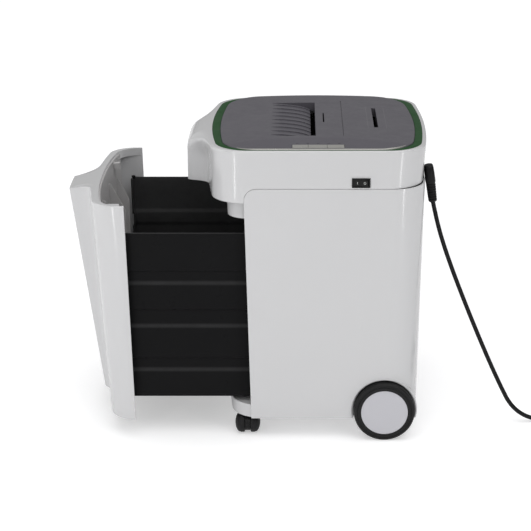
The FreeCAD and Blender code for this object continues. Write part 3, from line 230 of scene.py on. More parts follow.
# hub disc with a raised rim: distance in from the outer face, drop below the rim
HUB_DEPTH = 4.0
HUB_MIDDLE_DEPTH = 0.7
HUB_FACE = ((HUB_DEPTH, 0.0), (1.2, 0.0), (0.6, 0.25), (0.2, 0.9), (0.0, 1.6), (0.2, 2.3),
            (1.2, 2.9), (1.5, 4.0), (1.2, 14.0), (0.8, 28.0))
CASTOR_RADIUS = 18.0
CASTOR_AXIS = (150.0, 2.0)
# each castor wheel, from the middle out: inner face, tread (as above) and the domed cap's start
CASTOR_INNER = 5.0
CASTOR_TREAD = ((0.0, 15.0), (0.0, 1.4), (0.5, 0.4), (1.4, 0.0), (6.4, 0.0), (7.4, 0.5))
CASTOR_DOME_START = 12.0
CASTOR_DOME_DEPTH = 9.5

# connector: start of its neck, and its sections as (share of the length, width, depth)
CONNECTOR_START = (110.0, 304.9, 467.0)
CONNECTOR_HEAD = ((0.0, 14.0, 9.0), (0.01, 18.0, 12.5), (0.03, 21.0, 14.6), (0.07, 23.5, 15.8),
                  (0.2, 25.5, 16.6), (0.42, 25.5, 17.0), (0.46, 24.0, 16.2))
CONNECTOR_END = ((0.975, 14.6, 13.6), (0.992, 12.6, 12.0), (1.0, 9.0, 9.0))
CONNECTOR_CORNER = 0.42
# grip ribs: places as shares of the length, sizes from the first rib to the last
GRIP_RIBS = 7
GRIP_START = 0.49
GRIP_PITCH = 0.068
GRIP_WIDTHS = (22.5, 16.0)
GRIP_DEPTHS = (15.8, 14.6)

# plug: its pins as (sideways, up, half width, half height, length)
PLUG_LENGTH = 42.0
PLUG_START = 18.0
PLUG_CENTRE_Z = 12.5
PLUG_PINS = ((-6.35, -1.85, 1.0, 3.5, 17.5), (6.35, -1.85, 1.0, 3.5, 17.5),
             (0.0, 6.0, 2.5, 2.5, 19.5))

# cord: the route down to the coil repeats the design's own points. The tail is this file's own,
# since it leaves from the top of the wound coil, where the design's solid ring has it lower.
CORD_DIAMETER = 7.5
CORD_ROUTE = [
    (110.0, 314.0, 403.0),
    (110.0, 321.5, 369.0),
    (110.4, 333.0, 330.0),
    (111.0, 349.0, 285.0),
    (111.6, 366.5, 240.0),
    (112.0, 385.5, 193.0),
    (112.2, 405.5, 145.5),
    (112.2, 425.0, 101.0),
    (112.0, 443.0, 62.5),
    (111.8, 457.0, 35.0),
    (111.6, 477.0, 15.0),
    (111.6, 503.0, 4.2),
    (112.4, 533.0, 3.9),
    (112.0, 562.0, 3.9),
]
TAIL_ROUTE = [
    (67.0, 598.7, 18.4),
    (54.0, 600.8, 18.9),
    (40.5, 602.9, 15.6),
    (26.0, 600.0, 12.5),
]
COIL_CENTRE = (71.75, 562.0)
COIL_OUTER_RING = 40.25
COIL_INNER_RING = 32.75
COIL_LAYERS_Z = (3.9, 11.4, 17.9)
COIL_TURNS = 4.25
COIL_POINTS_PER_TURN = 16


def blend(low, high, share):
    return low + (high - low) * share


def smooth_step(share):
    share = min(1.0, max(0.0, share))
    return share * share * (3 - 2 * share)


def spaced(low, high, count):
    """count values from low up to, and without, high."""
    return [blend(low, high, index / count) for index in range(count)]


def arc(x, y, radius, first, last, steps):
    """Points on a circle from the first to the last angle in degrees, both included."""
    points = []
    for step in range(steps + 1):
        angle = radians(first + step * (last - first) / steps)
        points.append((x + radius * cos(angle), y + radius * sin(angle)))
    return points


def add_object(name, data):
    """Puts data into the scene as a new object."""
    added = bpy.data.objects.new(name, data)
    bpy.context.scene.collection.objects.link(added)
    return added


# ---- camera
CAMERA_PLACE = (2.8268, 0.0868, 1.2489)
CAMERA_DIP = radians(19.459)
camera_data = bpy.data.cameras.new("studio_camera")
camera_data.sensor_width = 36.0
camera_data.lens = 115.25
camera_data.shift_x = -0.0593
camera = add_object("studio_camera", camera_data)
camera.location = CAMERA_PLACE
look = Vector((-cos(CAMERA_DIP), 0.0, -sin(CAMERA_DIP)))
camera.rotation_euler = look.to_track_quat("-Z", "Y").to_euler()
bpy.context.scene.camera = camera


# ---- materials
def set_inputs(node, inputs):
    """Sets a node's inputs. An underscore stands for a space in an input's name."""
    for key, value in inputs.items():
        node.inputs[key.replace("_", " ")].default_value = value
    return node


def add_node(tree, kind, **inputs):
    return set_inputs(tree.nodes.new(kind), inputs)


def new_material(name, **inputs):
    """A material, its node tree and its principled shader, with some of the shader's inputs set."""
    material = bpy.data.materials.new(name)
    material.use_nodes = True
    tree = material.node_tree
    return material, tree, set_inputs(tree.nodes["Principled BSDF"], inputs)


def noise(tree, scale, detail=4.0, roughness=0.6, stretch=(1.0, 1.0, 1.0)):
    """Noise in the object's own coordinates, in metres, and so fixed to the surface."""
    coordinates = tree.nodes.new("ShaderNodeTexCoord")
    mapping = add_node(tree, "ShaderNodeMapping", Scale=stretch)
    texture = add_node(tree, "ShaderNodeTexNoise", Scale=scale, Detail=detail,
                       Roughness=roughness)
    tree.links.new(coordinates.outputs["Object"], mapping.inputs["Vector"])
    tree.links.new(mapping.outputs["Vector"], texture.inputs["Vector"])
    return texture.outputs["Fac"]


def ramp(tree, source, low, high, start=0.3, end=0.7):
    """Turns a factor into a colour or a grey value between low and high."""
    node = tree.nodes.new("ShaderNodeValToRGB")
    for element, value, place in zip(node.color_ramp.elements, (low, high), (start, end)):
        element.position = place
        colour = value if isinstance(value, tuple) else (value, value, value)
        element.color = (*colour, 1.0)
    tree.links.new(source, node.inputs["Fac"])
    return node.outputs["Color"]


def bump(tree, height, strength, distance, below=None):
    node = add_node(tree, "ShaderNodeBump", Strength=strength, Distance=distance)
    tree.links.new(height, node.inputs["Height"])
    if below is not None:
        tree.links.new(below, node.inputs["Normal"])
    return node.outputs["Normal"]


def scaled(colour, factor):
    return tuple(channel * factor for channel in colour)


def moulded(name, colour, roughness, grain=900.0, grain_depth=0.05, variation=0.04, **shader):
    """Moulded plastic: faint cloudy colour, uneven gloss, a slow ripple and a fine grain."""
    material, tree, principled = new_material(name, **shader)
    cloud = noise(tree, 7.0)
    tree.links.new(ramp(tree, cloud, scaled(colour, 1 - variation), colour),
                   principled.inputs["Base Color"])
    handling = noise(tree, 38.0, 6.0, 0.7)
    tree.links.new(ramp(tree, handling, roughness * 0.85, roughness * 1.2),
                   principled.inputs["Roughness"])
    ripple = bump(tree, noise(tree, 14.0, 1.0), 0.08, 0.002)
    fine = bump(tree, noise(tree, grain, 3.0, 0.5), grain_depth, 0.0004, ripple)
    tree.links.new(fine, principled.inputs["Normal"])
    return material


def machined(name, colour, roughness, stretch=(1.0, 1.0, 1.0)):
    """Ground or plated metal with fine directional streaks."""
    material, tree, principled = new_material(name, Metallic=1.0)
    grind = noise(tree, 160.0, 8.0, 0.8, stretch)
    tree.links.new(ramp(tree, grind, scaled(colour, 0.8), colour),
                   principled.inputs["Base Color"])
    tree.links.new(ramp(tree, grind, roughness * 0.7, roughness * 1.3),
                   principled.inputs["Roughness"])
    tree.links.new(bump(tree, grind, 0.08, 0.0002), principled.inputs["Normal"])
    return material


white = moulded("white_gloss_shell", (0.605, 0.605, 0.612), 0.18, grain=500.0, grain_depth=0.015,
                variation=0.012, Coat_Weight=0.4, Coat_Roughness=0.05)
SLOT_MATERIALS = {
    "white_shell": white,
    "tray_white": moulded("white_satin_tray", (0.62, 0.62, 0.626), 0.34, variation=0.02),
    "lid_grey": moulded("lid_grey", (0.108, 0.103, 0.119), 0.36, grain=1500.0, grain_depth=0.1,
                        variation=0.05, Specular_IOR_Level=0.3),
    "trim_green": moulded("trim_green", (0.009, 0.064, 0.012), 0.34, variation=0.1,
                          Specular_IOR_Level=0.1),
    "bin_black": moulded("bin_black", (0.0095, 0.0095, 0.01), 0.3, grain=1200.0,
                         grain_depth=0.08, variation=0.12, Specular_IOR_Level=0.04),
    "liner_grey": moulded("liner_grey", (0.52, 0.51, 0.51), 0.5, variation=0.05),
    "key_silver": moulded("key_silver", (0.40, 0.395, 0.37), 0.3, variation=0.03, Metallic=0.35),
    "black_plastic": moulded("black_plastic", (0.006, 0.006, 0.0065), 0.33, variation=0.15,
                             Specular_IOR_Level=0.25),
    "hub_grey": moulded("hub_grey", (0.53, 0.528, 0.56), 0.36, variation=0.03),
    "tyre_black": moulded("tyre_rubber", (0.005, 0.005, 0.0055), 0.5, grain=700.0,
                          grain_depth=0.25, variation=0.2, Specular_IOR_Level=0.3),
    "cord_black": moulded("cord_rubber", (0.005, 0.005, 0.0055), 0.4, grain_depth=0.1,
                          variation=0.15, Specular_IOR_Level=0.2),
    "gear_nylon": moulded("gear_nylon", (0.66, 0.65, 0.58), 0.4, Subsurface_Weight=0.05),
    "motor_metal": moulded("motor_paint", (0.05, 0.05, 0.055), 0.45, variation=0.2,
                           Metallic=0.4),
    "board_green": moulded("board_green", (0.012, 0.10, 0.04), 0.3, variation=0.3,
                           Coat_Weight=0.5),
    "steel": machined("ground_steel", (0.56, 0.56, 0.57), 0.3, (0.15, 1.0, 1.0)),
    "plate_steel": machined("plated_steel", (0.60, 0.61, 0.60), 0.36),
    "bronze": machined("sintered_bronze", (0.50, 0.31, 0.13), 0.45),
    "pin_brass": machined("plug_pin_nickel", (0.62, 0.60, 0.55), 0.25, (0.1, 1.0, 1.0)),
}


def add_painted_light(material, colour):
    """Mixes painted light into the base colour, as much as each face's painted light attribute
    says.
    """
    tree = material.node_tree
    base = tree.nodes["Principled BSDF"].inputs["Base Color"]
    mark = tree.nodes.new("ShaderNodeAttribute")
    mark.attribute_name = "painted_light"
    mix = tree.nodes.new("ShaderNodeMix")
    mix.data_type = "RGBA"
    tree.links.new(mark.outputs["Fac"], mix.inputs["Factor"])
    tree.links.new(base.links[0].from_socket, mix.inputs["A"])
    cloud = noise(tree, 25.0, 6.0, 0.7)
    tree.links.new(ramp(tree, cloud, scaled(colour, 0.75), colour), mix.inputs["B"])
    tree.links.new(mix.outputs["Result"], base)


# painted light on the bin: a paler cloudy grey on its inner faces, and a painted highlight on faces
# that tilt upwards
add_painted_light(SLOT_MATERIALS["bin_black"], (0.05, 0.05, 0.051))
pale_mark = moulded("pale_mark", (0.42, 0.43, 0.42), 0.5, variation=0.02)
# painted highlight: a paler lid grey for the faint raised outline round the disc slot
lid_painted_highlight = moulded("lid_painted_highlight", (0.16, 0.155, 0.17), 0.4, variation=0.03)
dark_mark = moulded("dark_mark", (0.03, 0.03, 0.034), 0.5, variation=0.02)

for subpart in frame["record"]["subparts"]:
    cad_mesh = frame["nodes"][subpart["node"]].data
    cad_mesh.materials.clear()
    cad_mesh.materials.append(SLOT_MATERIALS[subpart["material_slot"]])


# ---- mesh helpers
def edit_mesh(mesh, change):
    """Runs change on a mesh in its editable form."""
    work = bmesh.new()
    work.from_mesh(mesh)
    change(work)
    work.to_mesh(mesh)
    work.free()


def keep_sharp(mesh, degrees):
    """Smooth shading, except across edges that turn by more than the limit."""
    def shade(work):
        bmesh.ops.remove_doubles(work, verts=work.verts, dist=1e-6)
        bmesh.ops.recalc_face_normals(work, faces=work.faces)
        for face in work.faces:
            face.smooth = True
        for edge in work.edges:
            edge.smooth = edge.calc_face_angle(0.0) < radians(degrees)

    edit_mesh(mesh, shade)


def apply_modifiers(piece):
    graph = bpy.context.evaluated_depsgraph_get()
    piece.data = bpy.data.meshes.new_from_object(piece.evaluated_get(graph))
    piece.modifiers.clear()


def finish_piece(piece, body, slot_name, replaced=(), sharp=32.0, material=None):
    """Applies the modifiers, sets the finish and hands the piece to its body."""
    if piece.modifiers:
        apply_modifiers(piece)
    keep_sharp(piece.data, sharp)
    piece.data.materials.clear()
    piece.data.materials.append(material or SLOT_MATERIALS[slot_name])
    if replaced:
        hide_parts(*replaced)
    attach(piece, body)
    return piece


def raw_piece(name, points, faces, shift_y=0.0):
    """A mesh object from millimetre points, moved along Y by shift_y."""
    mesh = bpy.data.meshes.new(name)
    mesh.from_pydata([(x * MM, (y + shift_y) * MM, z * MM) for x, y, z in points], [], faces)
    return add_object(name, mesh)


def grid_faces(rows, columns, close_rows, close_columns):
    """Quads between neighbours of a point grid that is stored row by row."""
    faces = []
    for row in range(rows if close_rows else rows - 1):
        next_row = (row + 1) % rows
        for column in range(columns if close_columns else columns - 1):
            following = (column + 1) % columns
            faces.append((row * columns + column, row * columns + following,
                          next_row * columns + following, next_row * columns + column))
    return faces


def ring_solid(rows, ends="joined"):
    """Points and faces of a stack of closed rings: its two ends joined, capped or open."""
    columns = len(rows[0])
    points = [point for row in rows for point in row]
    faces = grid_faces(len(rows), columns, ends == "joined", True)
    if ends == "capped":
        faces.append(tuple(range(columns)))
        faces.append(tuple(range(len(points) - columns, len(points))))
    return points, faces


def rows_to_piece(name, rows, ends="joined", shift_y=0.0):
    return raw_piece(name, *ring_solid(rows, ends), shift_y)


def solids_to_piece(name, solids):
    """One object from several solids, each given as its points and faces."""
    points = []
    faces = []
    for more_points, more_faces in solids:
        first = len(points)
        points += more_points
        faces += [tuple(first + index for index in face) for face in more_faces]
    return raw_piece(name, points, faces)


def band_to_piece(name, outer_rows, inner_rows):
    """A solid wall between an outer and an inner open grid of the same size."""
    columns = len(outer_rows[0])
    points, faces = ring_solid([outer + inner[::-1]
                                for outer, inner in zip(outer_rows, inner_rows)], "open")
    last = len(points) - 2 * columns
    for column in range(columns - 1):
        opposite = 2 * columns - 1 - column
        faces.append((column, opposite, opposite - 1, column + 1))
        faces.append((last + column, last + column + 1, last + opposite - 1, last + opposite))
    return raw_piece(name, points, faces)


def row_maker(section, columns):
    """Makes rows of points on a shape whose plan outline is section(height, inset).

    An outline is worked out once for each height and inset, both rounded.
    """
    known = {}

    def make_row(heights, depth=0.0):
        """heights is one height for the whole row, or a list with one for each column."""
        if not isinstance(heights, list):
            heights = [heights] * columns
        row = []
        for column, z in enumerate(heights):
            key = (round(z, 2), round(depth, 3))
            if key not in known:
                known[key] = section(*key)
            row.append((*known[key][column], z))
        return row

    return make_row


def add_bevel(piece, width, segments=3, degrees=50.0):
    modifier = piece.modifiers.new("edge_bevel", "BEVEL")
    modifier.width = width * MM
    modifier.segments = segments
    modifier.limit_method = "ANGLE"
    modifier.angle_limit = radians(degrees)


def subtract(piece, cutter):
    """Cuts one object out of another. The cutter is removed."""
    modifier = piece.modifiers.new("cut", "BOOLEAN")
    modifier.operation = "DIFFERENCE"
    modifier.solver = "EXACT"
    modifier.object = cutter
    bpy.context.view_layer.update()
    apply_modifiers(piece)
    bpy.data.objects.remove(cutter)


def turned_rows(profile, centre, axis, direction=1.0, segments=128):
    """Rings of a turned shape about X or Y. profile holds (distance along the axis, radius)."""
    rows = []
    for along, radius in profile:
        row = []
        for step in range(segments):
            angle = 2 * pi * step / segments
            first = radius * cos(angle)
            second = radius * sin(angle)
            if axis == "X":
                place = (centre[0] + direction * along, centre[1] + first, centre[2] + second)
            else:
                place = (centre[0] + first, centre[1] + direction * along, centre[2] + second)
            row.append(place)
        rows.append(row)
    return rows


def block(name, size, centre):
    """A plain box to cut with."""
    x, y, z = centre
    a, b, c = (edge / 2 for edge in size)
    points = [(x + i * a, y + j * b, z + k * c) for i in (-1, 1) for j in (-1, 1) for k in (-1, 1)]
    faces = [(0, 1, 3, 2), (4, 6, 7, 5), (0, 4, 5, 1), (2, 3, 7, 6), (0, 2, 6, 4), (1, 5, 7, 3)]
    return raw_piece(name, points, faces)


# ---- plan outlines
FRONT_STEPS = 66
CORNER_STEPS = 16
REAR_STEPS = 16
SIDE_SHARES = ([0.0875 * (1 - cos(radians(angle))) for angle in range(8, 97, 8)]
               + [blend(0.0875, 1.0, index / 12) for index in range(1, 12)])


def bowed(y, bow, half_width):
    """A nearly straight edge: y at the middle, y + bow at half_width."""
    return lambda x: y + bow * (x / half_width) ** 2


def corner_points(half_width, edge, radius, side):
    """A plan corner, from the front or rear edge towards the side wall. side is 1 at the front."""
    points = []
    for step in range(CORNER_STEPS + 1):
        angle = pi / 2 * step / CORNER_STEPS
        x = half_width - radius * (1 - sin(angle))
        points.append((x, edge(x) + side * radius * (1 - cos(angle))))
    return points


def front_half(half_width, front, corner):
    """From the middle of the front to the end of its right corner."""
    points = [(x, front(x)) for x in spaced(0.0, half_width - corner, FRONT_STEPS)]
    return points + corner_points(half_width, front, corner, 1)


def rear_half(half_width, rear, corner):
    """From the start of the right rear corner to the middle of the rear."""
    points = corner_points(half_width, rear, corner, -1)[::-1]
    points += [(x, rear(x)) for x in spaced(half_width - corner, 0.0, REAR_STEPS)][1:]
    return points + [(0.0, rear(0.0))]


def mirrored(points):
    return [(-x, y) for x, y in reversed(points)]


def outline(half_width, front, rear, corner_front, corner_rear):
    """Closed plan outline, symmetrical about X = 0, anticlockwise from the front's middle."""
    right = front_half(half_width, front, corner_front)
    start = right[-1][1]
    end = rear(half_width) - corner_rear
    right += [(half_width, blend(start, end, share)) for share in SIDE_SHARES]
    right += rear_half(half_width, rear, corner_rear)
    return right + mirrored(right[1:-1])


def front_path(half_width, front, corner, rear_y):
    """Open plan path: forwards along the left wall, across the front, back along the right."""
    right = front_half(half_width, front, corner)
    start = right[-1][1]
    right += [(half_width, blend(start, rear_y, share)) for share in (0.25, 0.5, 0.75, 1.0)]
    return mirrored(right[1:]) + right


def rear_path(half_width, rear, corner, front_y):
    """Open plan path: backwards along the right wall, across the rear, along the left."""
    right = rear_half(half_width, rear, corner)
    right = [(half_width, y) for y in spaced(front_y, right[0][1], 24)] + right
    return right + mirrored(right[:-1])


def left_normals(path, closed):
    """Unit directions to the left of a plan outline or path, one for each point."""
    normals = []
    count = len(path)
    for index in range(count):
        before = path[index - 1] if closed or index else path[0]
        after = path[(index + 1) % count] if closed or index < count - 1 else path[-1]
        dx = after[0] - before[0]
        dy = after[1] - before[1]
        length = hypot(dx, dy)
        normals.append((-dy / length, dx / length))
    return normals


def inset(path, distance, closed=True):
    """Moves an anticlockwise outline or path inwards."""
    return [(x + normal_x * distance, y + normal_y * distance)
            for (x, y), (normal_x, normal_y) in zip(path, left_normals(path, closed))]


def rounded_plan(x0, x1, y0, y1, corner, steps=6):
    """A closed rounded rectangle, with steps + 1 points at each corner."""
    ring = []
    for quarter, (x, y) in enumerate(((x1 - corner, y1 - corner), (x0 + corner, y1 - corner),
                                      (x0 + corner, y0 + corner), (x1 - corner, y0 + corner))):
        ring += arc(x, y, corner, quarter * 90, quarter * 90 + 90, steps)
    return ring


def at_height(path, z):
    return [(x, y, z) for x, y in path]


# ---- head
def nose(x, z):
    """How far the nose stands out of the head's front at height z."""
    rise = min(1.0, max(0.0, z - NOSE_EDGE_Z) / (RIM_Z - NOSE_EDGE_Z))
    start, end = NOSE_WIDENING_Z
    widening = min(1.0, max(0.0, (z - start) / (end - start)))
    run_out = blend(*NOSE_RUN_OUT, widening ** 2)
    outside = max(0.0, abs(x) - NOSE_HALF_WIDTH)
    return NOSE_DEPTH * sqrt(1 - rise * rise) * exp(-(outside / run_out) ** NOSE_POWER)


def head_outline(z):
    share = (z - SEAM_Z) / (RIM_Z - SEAM_Z)
    plain = bowed(*HEAD_FRONT)
    rear = bowed(blend(*HEAD_REAR_Y, share), *HEAD_REAR_BOW)
    return outline(BODY_HALF_WIDTH, lambda x: plain(x) - nose(x, z), rear, HEAD_FRONT_CORNER,
                   CABINET_REAR_CORNER)


def ring_outline():
    return outline(RING_HALF_WIDTH, bowed(*RING_FRONT), bowed(*RING_REAR), *RING_CORNERS)


def lid_outline():
    return outline(LID_HALF_WIDTH, bowed(*LID_FRONT), bowed(*LID_REAR), *LID_CORNERS)


def head_lower_edge(y):
    """The head's lower edge steps down round the cabinet's upper front corners."""
    reach = CABINET_FRONT_CORNER + GAP
    if y >= CABINET_FRONT_CORNER:
        return SEAM_Z + GAP
    if y <= -GAP:
        return HEAD_BOTTOM_Z
    across = min(reach, CABINET_FRONT_CORNER - y)
    return SEAM_Z - CABINET_FRONT_CORNER + sqrt(reach * reach - across * across)


def make_head():
    """One loop of rows: up the outside, over the rim, down to the ring's seat and inside."""
    lower = [head_lower_edge(y) for _, y in head_outline(HEAD_BOTTOM_Z + WALL)]
    make_row = row_maker(lambda z, depth: inset(head_outline(z), depth), len(lower))
    rows = []
    for angle in (0, 22.5, 45, 67.5, 90):
        turn = radians(angle)
        lift = HEAD_LOWER_ROUNDING * (1 - cos(turn))
        rows.append(make_row([z + lift for z in lower], HEAD_LOWER_ROUNDING * (1 - sin(turn))))
    for share in (0.3, 0.65):
        rows.append(make_row([blend(z + HEAD_LOWER_ROUNDING, HEAD_LEVELS_Z[0], share)
                              for z in lower]))
    rows += [make_row(z) for z in HEAD_LEVELS_Z]
    for step in range(19):
        z = blend(NOSE_EDGE_Z, RIM_Z, sin(radians(step * 5)))
        over = max(0.0, z - (RIM_Z - RIM_ROUNDING))
        rows.append(make_row(z, RIM_ROUNDING - sqrt(max(0.0, RIM_ROUNDING ** 2 - over ** 2))))
    rows += [at_height(ring_outline(), RIM_Z + lift) for lift in (-0.1, RING_FOOT)]
    rows += [make_row(z, WALL) for z in HEAD_INNER_Z]
    rows.append(make_row([z + 0.4 for z in lower], WALL))
    rows.append(make_row(lower, WALL - 0.4))
    piece = rows_to_piece("head_shell", rows)
    y, z = SWITCH_CENTRE
    subtract(piece, block("switch_cut", (24, SWITCH_BEZEL[0] - 3, SWITCH_BEZEL[1] - 2.8),
                          (BODY_HALF_WIDTH, y, z)))
    inlet_low, inlet_high = node_box("appliance_inlet")
    middle = (inlet_low + inlet_high) / 2
    size = inlet_high - inlet_low
    subtract(piece, block("inlet_cut", (size.x - 3.6, 40, size.z), (middle.x, 303, middle.z)))
    return finish_piece(piece, "cabinet", "white_shell", ["head_housing"], 35)


def make_trim_ring():
    outer = inset(ring_outline(), GAP / 2)
    inner = inset(lid_outline(), -GAP / 2)
    rows = []
    for share, lift in RING_PROFILE:
        rows.append([(blend(outer_x, inner_x, share), blend(outer_y, inner_y, share),
                      RIM_Z + lift)
                     for (outer_x, outer_y), (inner_x, inner_y) in zip(outer, inner)])
    flange = inset(inner, RING_FLANGE_WIDTH)
    rows += [at_height(inner, RIM_Z + RING_FLANGE_LIFT),
             at_height(flange, RIM_Z + RING_FLANGE_LIFT), at_height(flange, RIM_Z + RING_FOOT)]
    return finish_piece(rows_to_piece("green_trim_ring", rows), "cabinet", "trim_green",
                        ["trim_ring"], 40)


# ---- lid panel
def lid_height(x, y):
    """The crowned lid with the bevel along the switch side, joined by a soft edge."""
    crown = LID_CREST_Z - (y - LID_CREST_Y) ** 2 / (2 * LID_CROWN_RADIUS)
    slope = LID_CREST_Z - BEVEL_START_DROP - (x - BEVEL_START_X) * tan(BEVEL_SLOPE)
    softness = 0.25
    difference = (crown - slope) / softness
    if difference > 30:
        return slope
    return crown - softness * log1p(exp(difference))


def inside(x, y, rectangle):
    x0, x1, y0, y1 = rectangle
    return x0 < x < x1 and y0 < y < y1


RAMP_AREA = (*FEED_X, RAMP_START_Y, FEED_WALL_Y)
FEED_SLOT = (*FEED_X, FEED_WALL_Y - FEED_SLOT_WIDTH, FEED_WALL_Y)
KEY_POCKET = (KEY_CENTRE_X - KEY_WIDTH / 2 - GAP, KEY_CENTRE_X + KEY_WIDTH / 2 + GAP,
              KEYS_Y[0] - GAP, KEYS_Y[1] + GAP)
SLOTS = (CD_SLOT, CARD_SLOT, FEED_SLOT)
LID_CUTS = (CD_SLOT, CARD_SLOT, GROOVE, KEY_POCKET)
RIB_PITCH = (FEED_X[1] - FEED_X[0]) / RIB_COUNT
EDGE_LINES = (-0.6, -0.2, 0.0, 0.04)
RIB_LINES = (-1.15, -1.05, -0.6, 0.0, 0.6, 1.05, 1.15)


def edge_rounding(x, y, rectangle):
    """How far a point just outside a cut is lowered, to round the cut's edge."""
    x0, x1, y0, y1 = rectangle
    distance = max(x0 - x, x - x1, y0 - y, y - y1)
    if distance < -1e-6 or distance > 0.55:
        return 0.0
    return 0.35 if distance < 0.1 else 0.08


def ramp_depth(x, y):
    """The feed ramp's depth under the lid: it falls gently, then curls down into the slot."""
    share = min(1.0, (y - RAMP_START_Y) / (FEED_WALL_Y - FEED_SLOT_WIDTH - RAMP_START_Y))
    floor = 0.3 + RAMP_DEPTH * (0.55 * share + 0.45 * share ** 5)
    from_rib = abs((x - FEED_X[0]) % RIB_PITCH - RIB_PITCH / 2)
    if from_rib > RIB_HALF_WIDTH:
        return floor
    rounded = 1.0 if from_rib < 0.7 else 0.85
    return max(0.05, floor - RIB_HEIGHT * rounded)


def cut_depth(x, y):
    if any(inside(x, y, slot) for slot in SLOTS):
        return SLOT_DEPTH
    if inside(x, y, GROOVE):
        return GROOVE_DEPTH
    if inside(x, y, KEY_POCKET):
        return KEY_POCKET_DEPTH
    if inside(x, y, RAMP_AREA):
        return ramp_depth(x, y)
    lowered = sum(edge_rounding(x, y, area) for area in LID_CUTS)
    return lowered + edge_rounding(x, y, RAMP_AREA) * smooth_step((y - RAMP_START_Y) / 12)


def grid_lines(low, high, step, fixed):
    """Even lines between low and high, leaving out those beside the fixed ones."""
    lines = [low, high] + list(fixed)
    for place in spaced(low, high, int((high - low) / step))[1:]:
        if all(abs(place - other) > 0.6 * step for other in fixed):
            lines.append(place)
    return sorted(set(round(value, 4) for value in lines))


def edge_lines(low, high):
    """Lines close to both sides of a cut, where its rounded edge needs them."""
    return [low + shift for shift in EDGE_LINES] + [high - shift for shift in EDGE_LINES]


def toward_edge(place, centre, edge):
    """Where the ray from centre through place meets the closed outline edge."""
    heading = atan2(place[1] - centre[1], place[0] - centre[0])

    def turn(point):
        angle = atan2(point[1] - centre[1], point[0] - centre[0]) - heading
        return (angle + pi) % (2 * pi) - pi

    for index, start in enumerate(edge):
        end = edge[(index + 1) % len(edge)]
        before = turn(start)
        after = turn(end)
        if before <= 0.0 < after and after - before < 1.0:
            share = -before / (after - before)
            return (blend(start[0], end[0], share), blend(start[1], end[1], share))
    raise ValueError("the outline does not surround its centre")


def make_lid_panel():
    x_fixed = [BEVEL_START_X + shift for shift in (-4, -2, 0, 2, 4, 7)]
    y_fixed = [RAMP_START_Y, RAMP_START_Y + 1.5, FEED_SLOT[2] - 0.3, FEED_SLOT[2],
               FEED_SLOT[2] + 0.04]
    y_fixed += [FEED_WALL_Y - shift for shift in EDGE_LINES]
    for x0, x1, y0, y1 in LID_CUTS:
        x_fixed += edge_lines(x0, x1)
        y_fixed += edge_lines(y0, y1)
    x_fixed += edge_lines(*FEED_X)
    for index in range(RIB_COUNT):
        middle = FEED_X[0] + RIB_PITCH * (index + 0.5)
        x_fixed += [middle + shift for shift in RIB_LINES]
    xs = grid_lines(*LID_GRID_X, x_fixed)
    ys = grid_lines(*LID_GRID_Y, y_fixed)
    points = [(x, y, lid_height(x, y) - cut_depth(x, y)) for y in ys for x in xs]
    columns = len(xs)
    faces = []
    for row in range(len(ys) - 1):
        for column in range(columns - 1):
            middle = ((xs[column] + xs[column + 1]) / 2, (ys[row] + ys[row + 1]) / 2)
            open_slot = any(inside(*middle, (a + 0.05, b - 0.05, c + 0.05, d - 0.05))
                            for a, b, c, d in SLOTS)
            if not open_slot:
                first = row * columns + column
                faces.append((first, first + 1, first + columns + 1, first + columns))
    border = list(range(columns))
    border += [row * columns + columns - 1 for row in range(1, len(ys))]
    border += [(len(ys) - 1) * columns + column for column in range(columns - 2, -1, -1)]
    border += [row * columns for row in range(len(ys) - 2, 0, -1)]
    edge = lid_outline()
    targets = [toward_edge(points[index], (0.0, LID_CREST_Y), edge) for index in border]
    previous = border
    for share, drop in LID_RINGS:
        ring = []
        for index, (edge_x, edge_y) in zip(border, targets):
            x = blend(points[index][0], edge_x, share)
            y = blend(points[index][1], edge_y, share)
            ring.append(len(points))
            points.append((x, y, lid_height(x, y) - drop))
        for index in range(len(ring)):
            following = (index + 1) % len(ring)
            faces.append((previous[index], ring[index], ring[following], previous[following]))
        previous = ring
    piece = raw_piece("lid_panel", points, faces)
    return finish_piece(piece, "cabinet", "lid_grey", ["top_panel"], 24)


# ---- cabinet
def cabinet_front_edge(z):
    """Y of the side walls' front edge: a slight slope, then the rounded upper corner."""
    centre_z = SEAM_Z - CABINET_FRONT_CORNER
    if z <= centre_z:
        return CABINET_FRONT_BOTTOM_Y * (centre_z - z) / (centre_z - CABINET_BOTTOM_Z)
    up = min(CABINET_FRONT_CORNER, z - centre_z)
    return CABINET_FRONT_CORNER - sqrt(CABINET_FRONT_CORNER ** 2 - up ** 2)


def make_cabinet():
    heights = spaced(CABINET_BOTTOM_Z, SEAM_Z - CABINET_FRONT_CORNER, 14)
    heights += [SEAM_Z - CABINET_FRONT_CORNER * (1 - sin(radians(angle)))
                for angle in range(0, 91, 9)]
    outer_rows = []
    inner_rows = []
    for z in heights:
        share = (z - CABINET_BOTTOM_Z) / (SEAM_Z - CABINET_BOTTOM_Z)
        half_width = blend(BODY_HALF_WIDTH - CABINET_TAPER, BODY_HALF_WIDTH, share)
        rear = bowed(blend(CABINET_REAR_BOTTOM_Y, CABINET_REAR_TOP_Y, share), CABINET_REAR_BOW,
                     half_width)
        path = rear_path(half_width, rear, CABINET_REAR_CORNER, cabinet_front_edge(z))
        outer_rows.append(at_height(path, z))
        inner_rows.append(at_height(inset(path, WALL, closed=False), z))
    piece = band_to_piece("cabinet_wall", outer_rows, inner_rows)
    add_bevel(piece, 0.7)
    drum = ((-ARCH_CUT_HALF, 0.01), (-ARCH_CUT_HALF, ARCH_RADIUS), (ARCH_CUT_HALF, ARCH_RADIUS),
            (ARCH_CUT_HALF, 0.01))
    for side in (-1, 1):
        arch = turned_rows(drum, (side * ARCH_X, REAR_WHEEL_Y, REAR_WHEEL_RADIUS), "X")
        subtract(piece, rows_to_piece("arch_cut", arch))
    return finish_piece(piece, "cabinet", "white_shell", ["cabinet_shell"], 35)


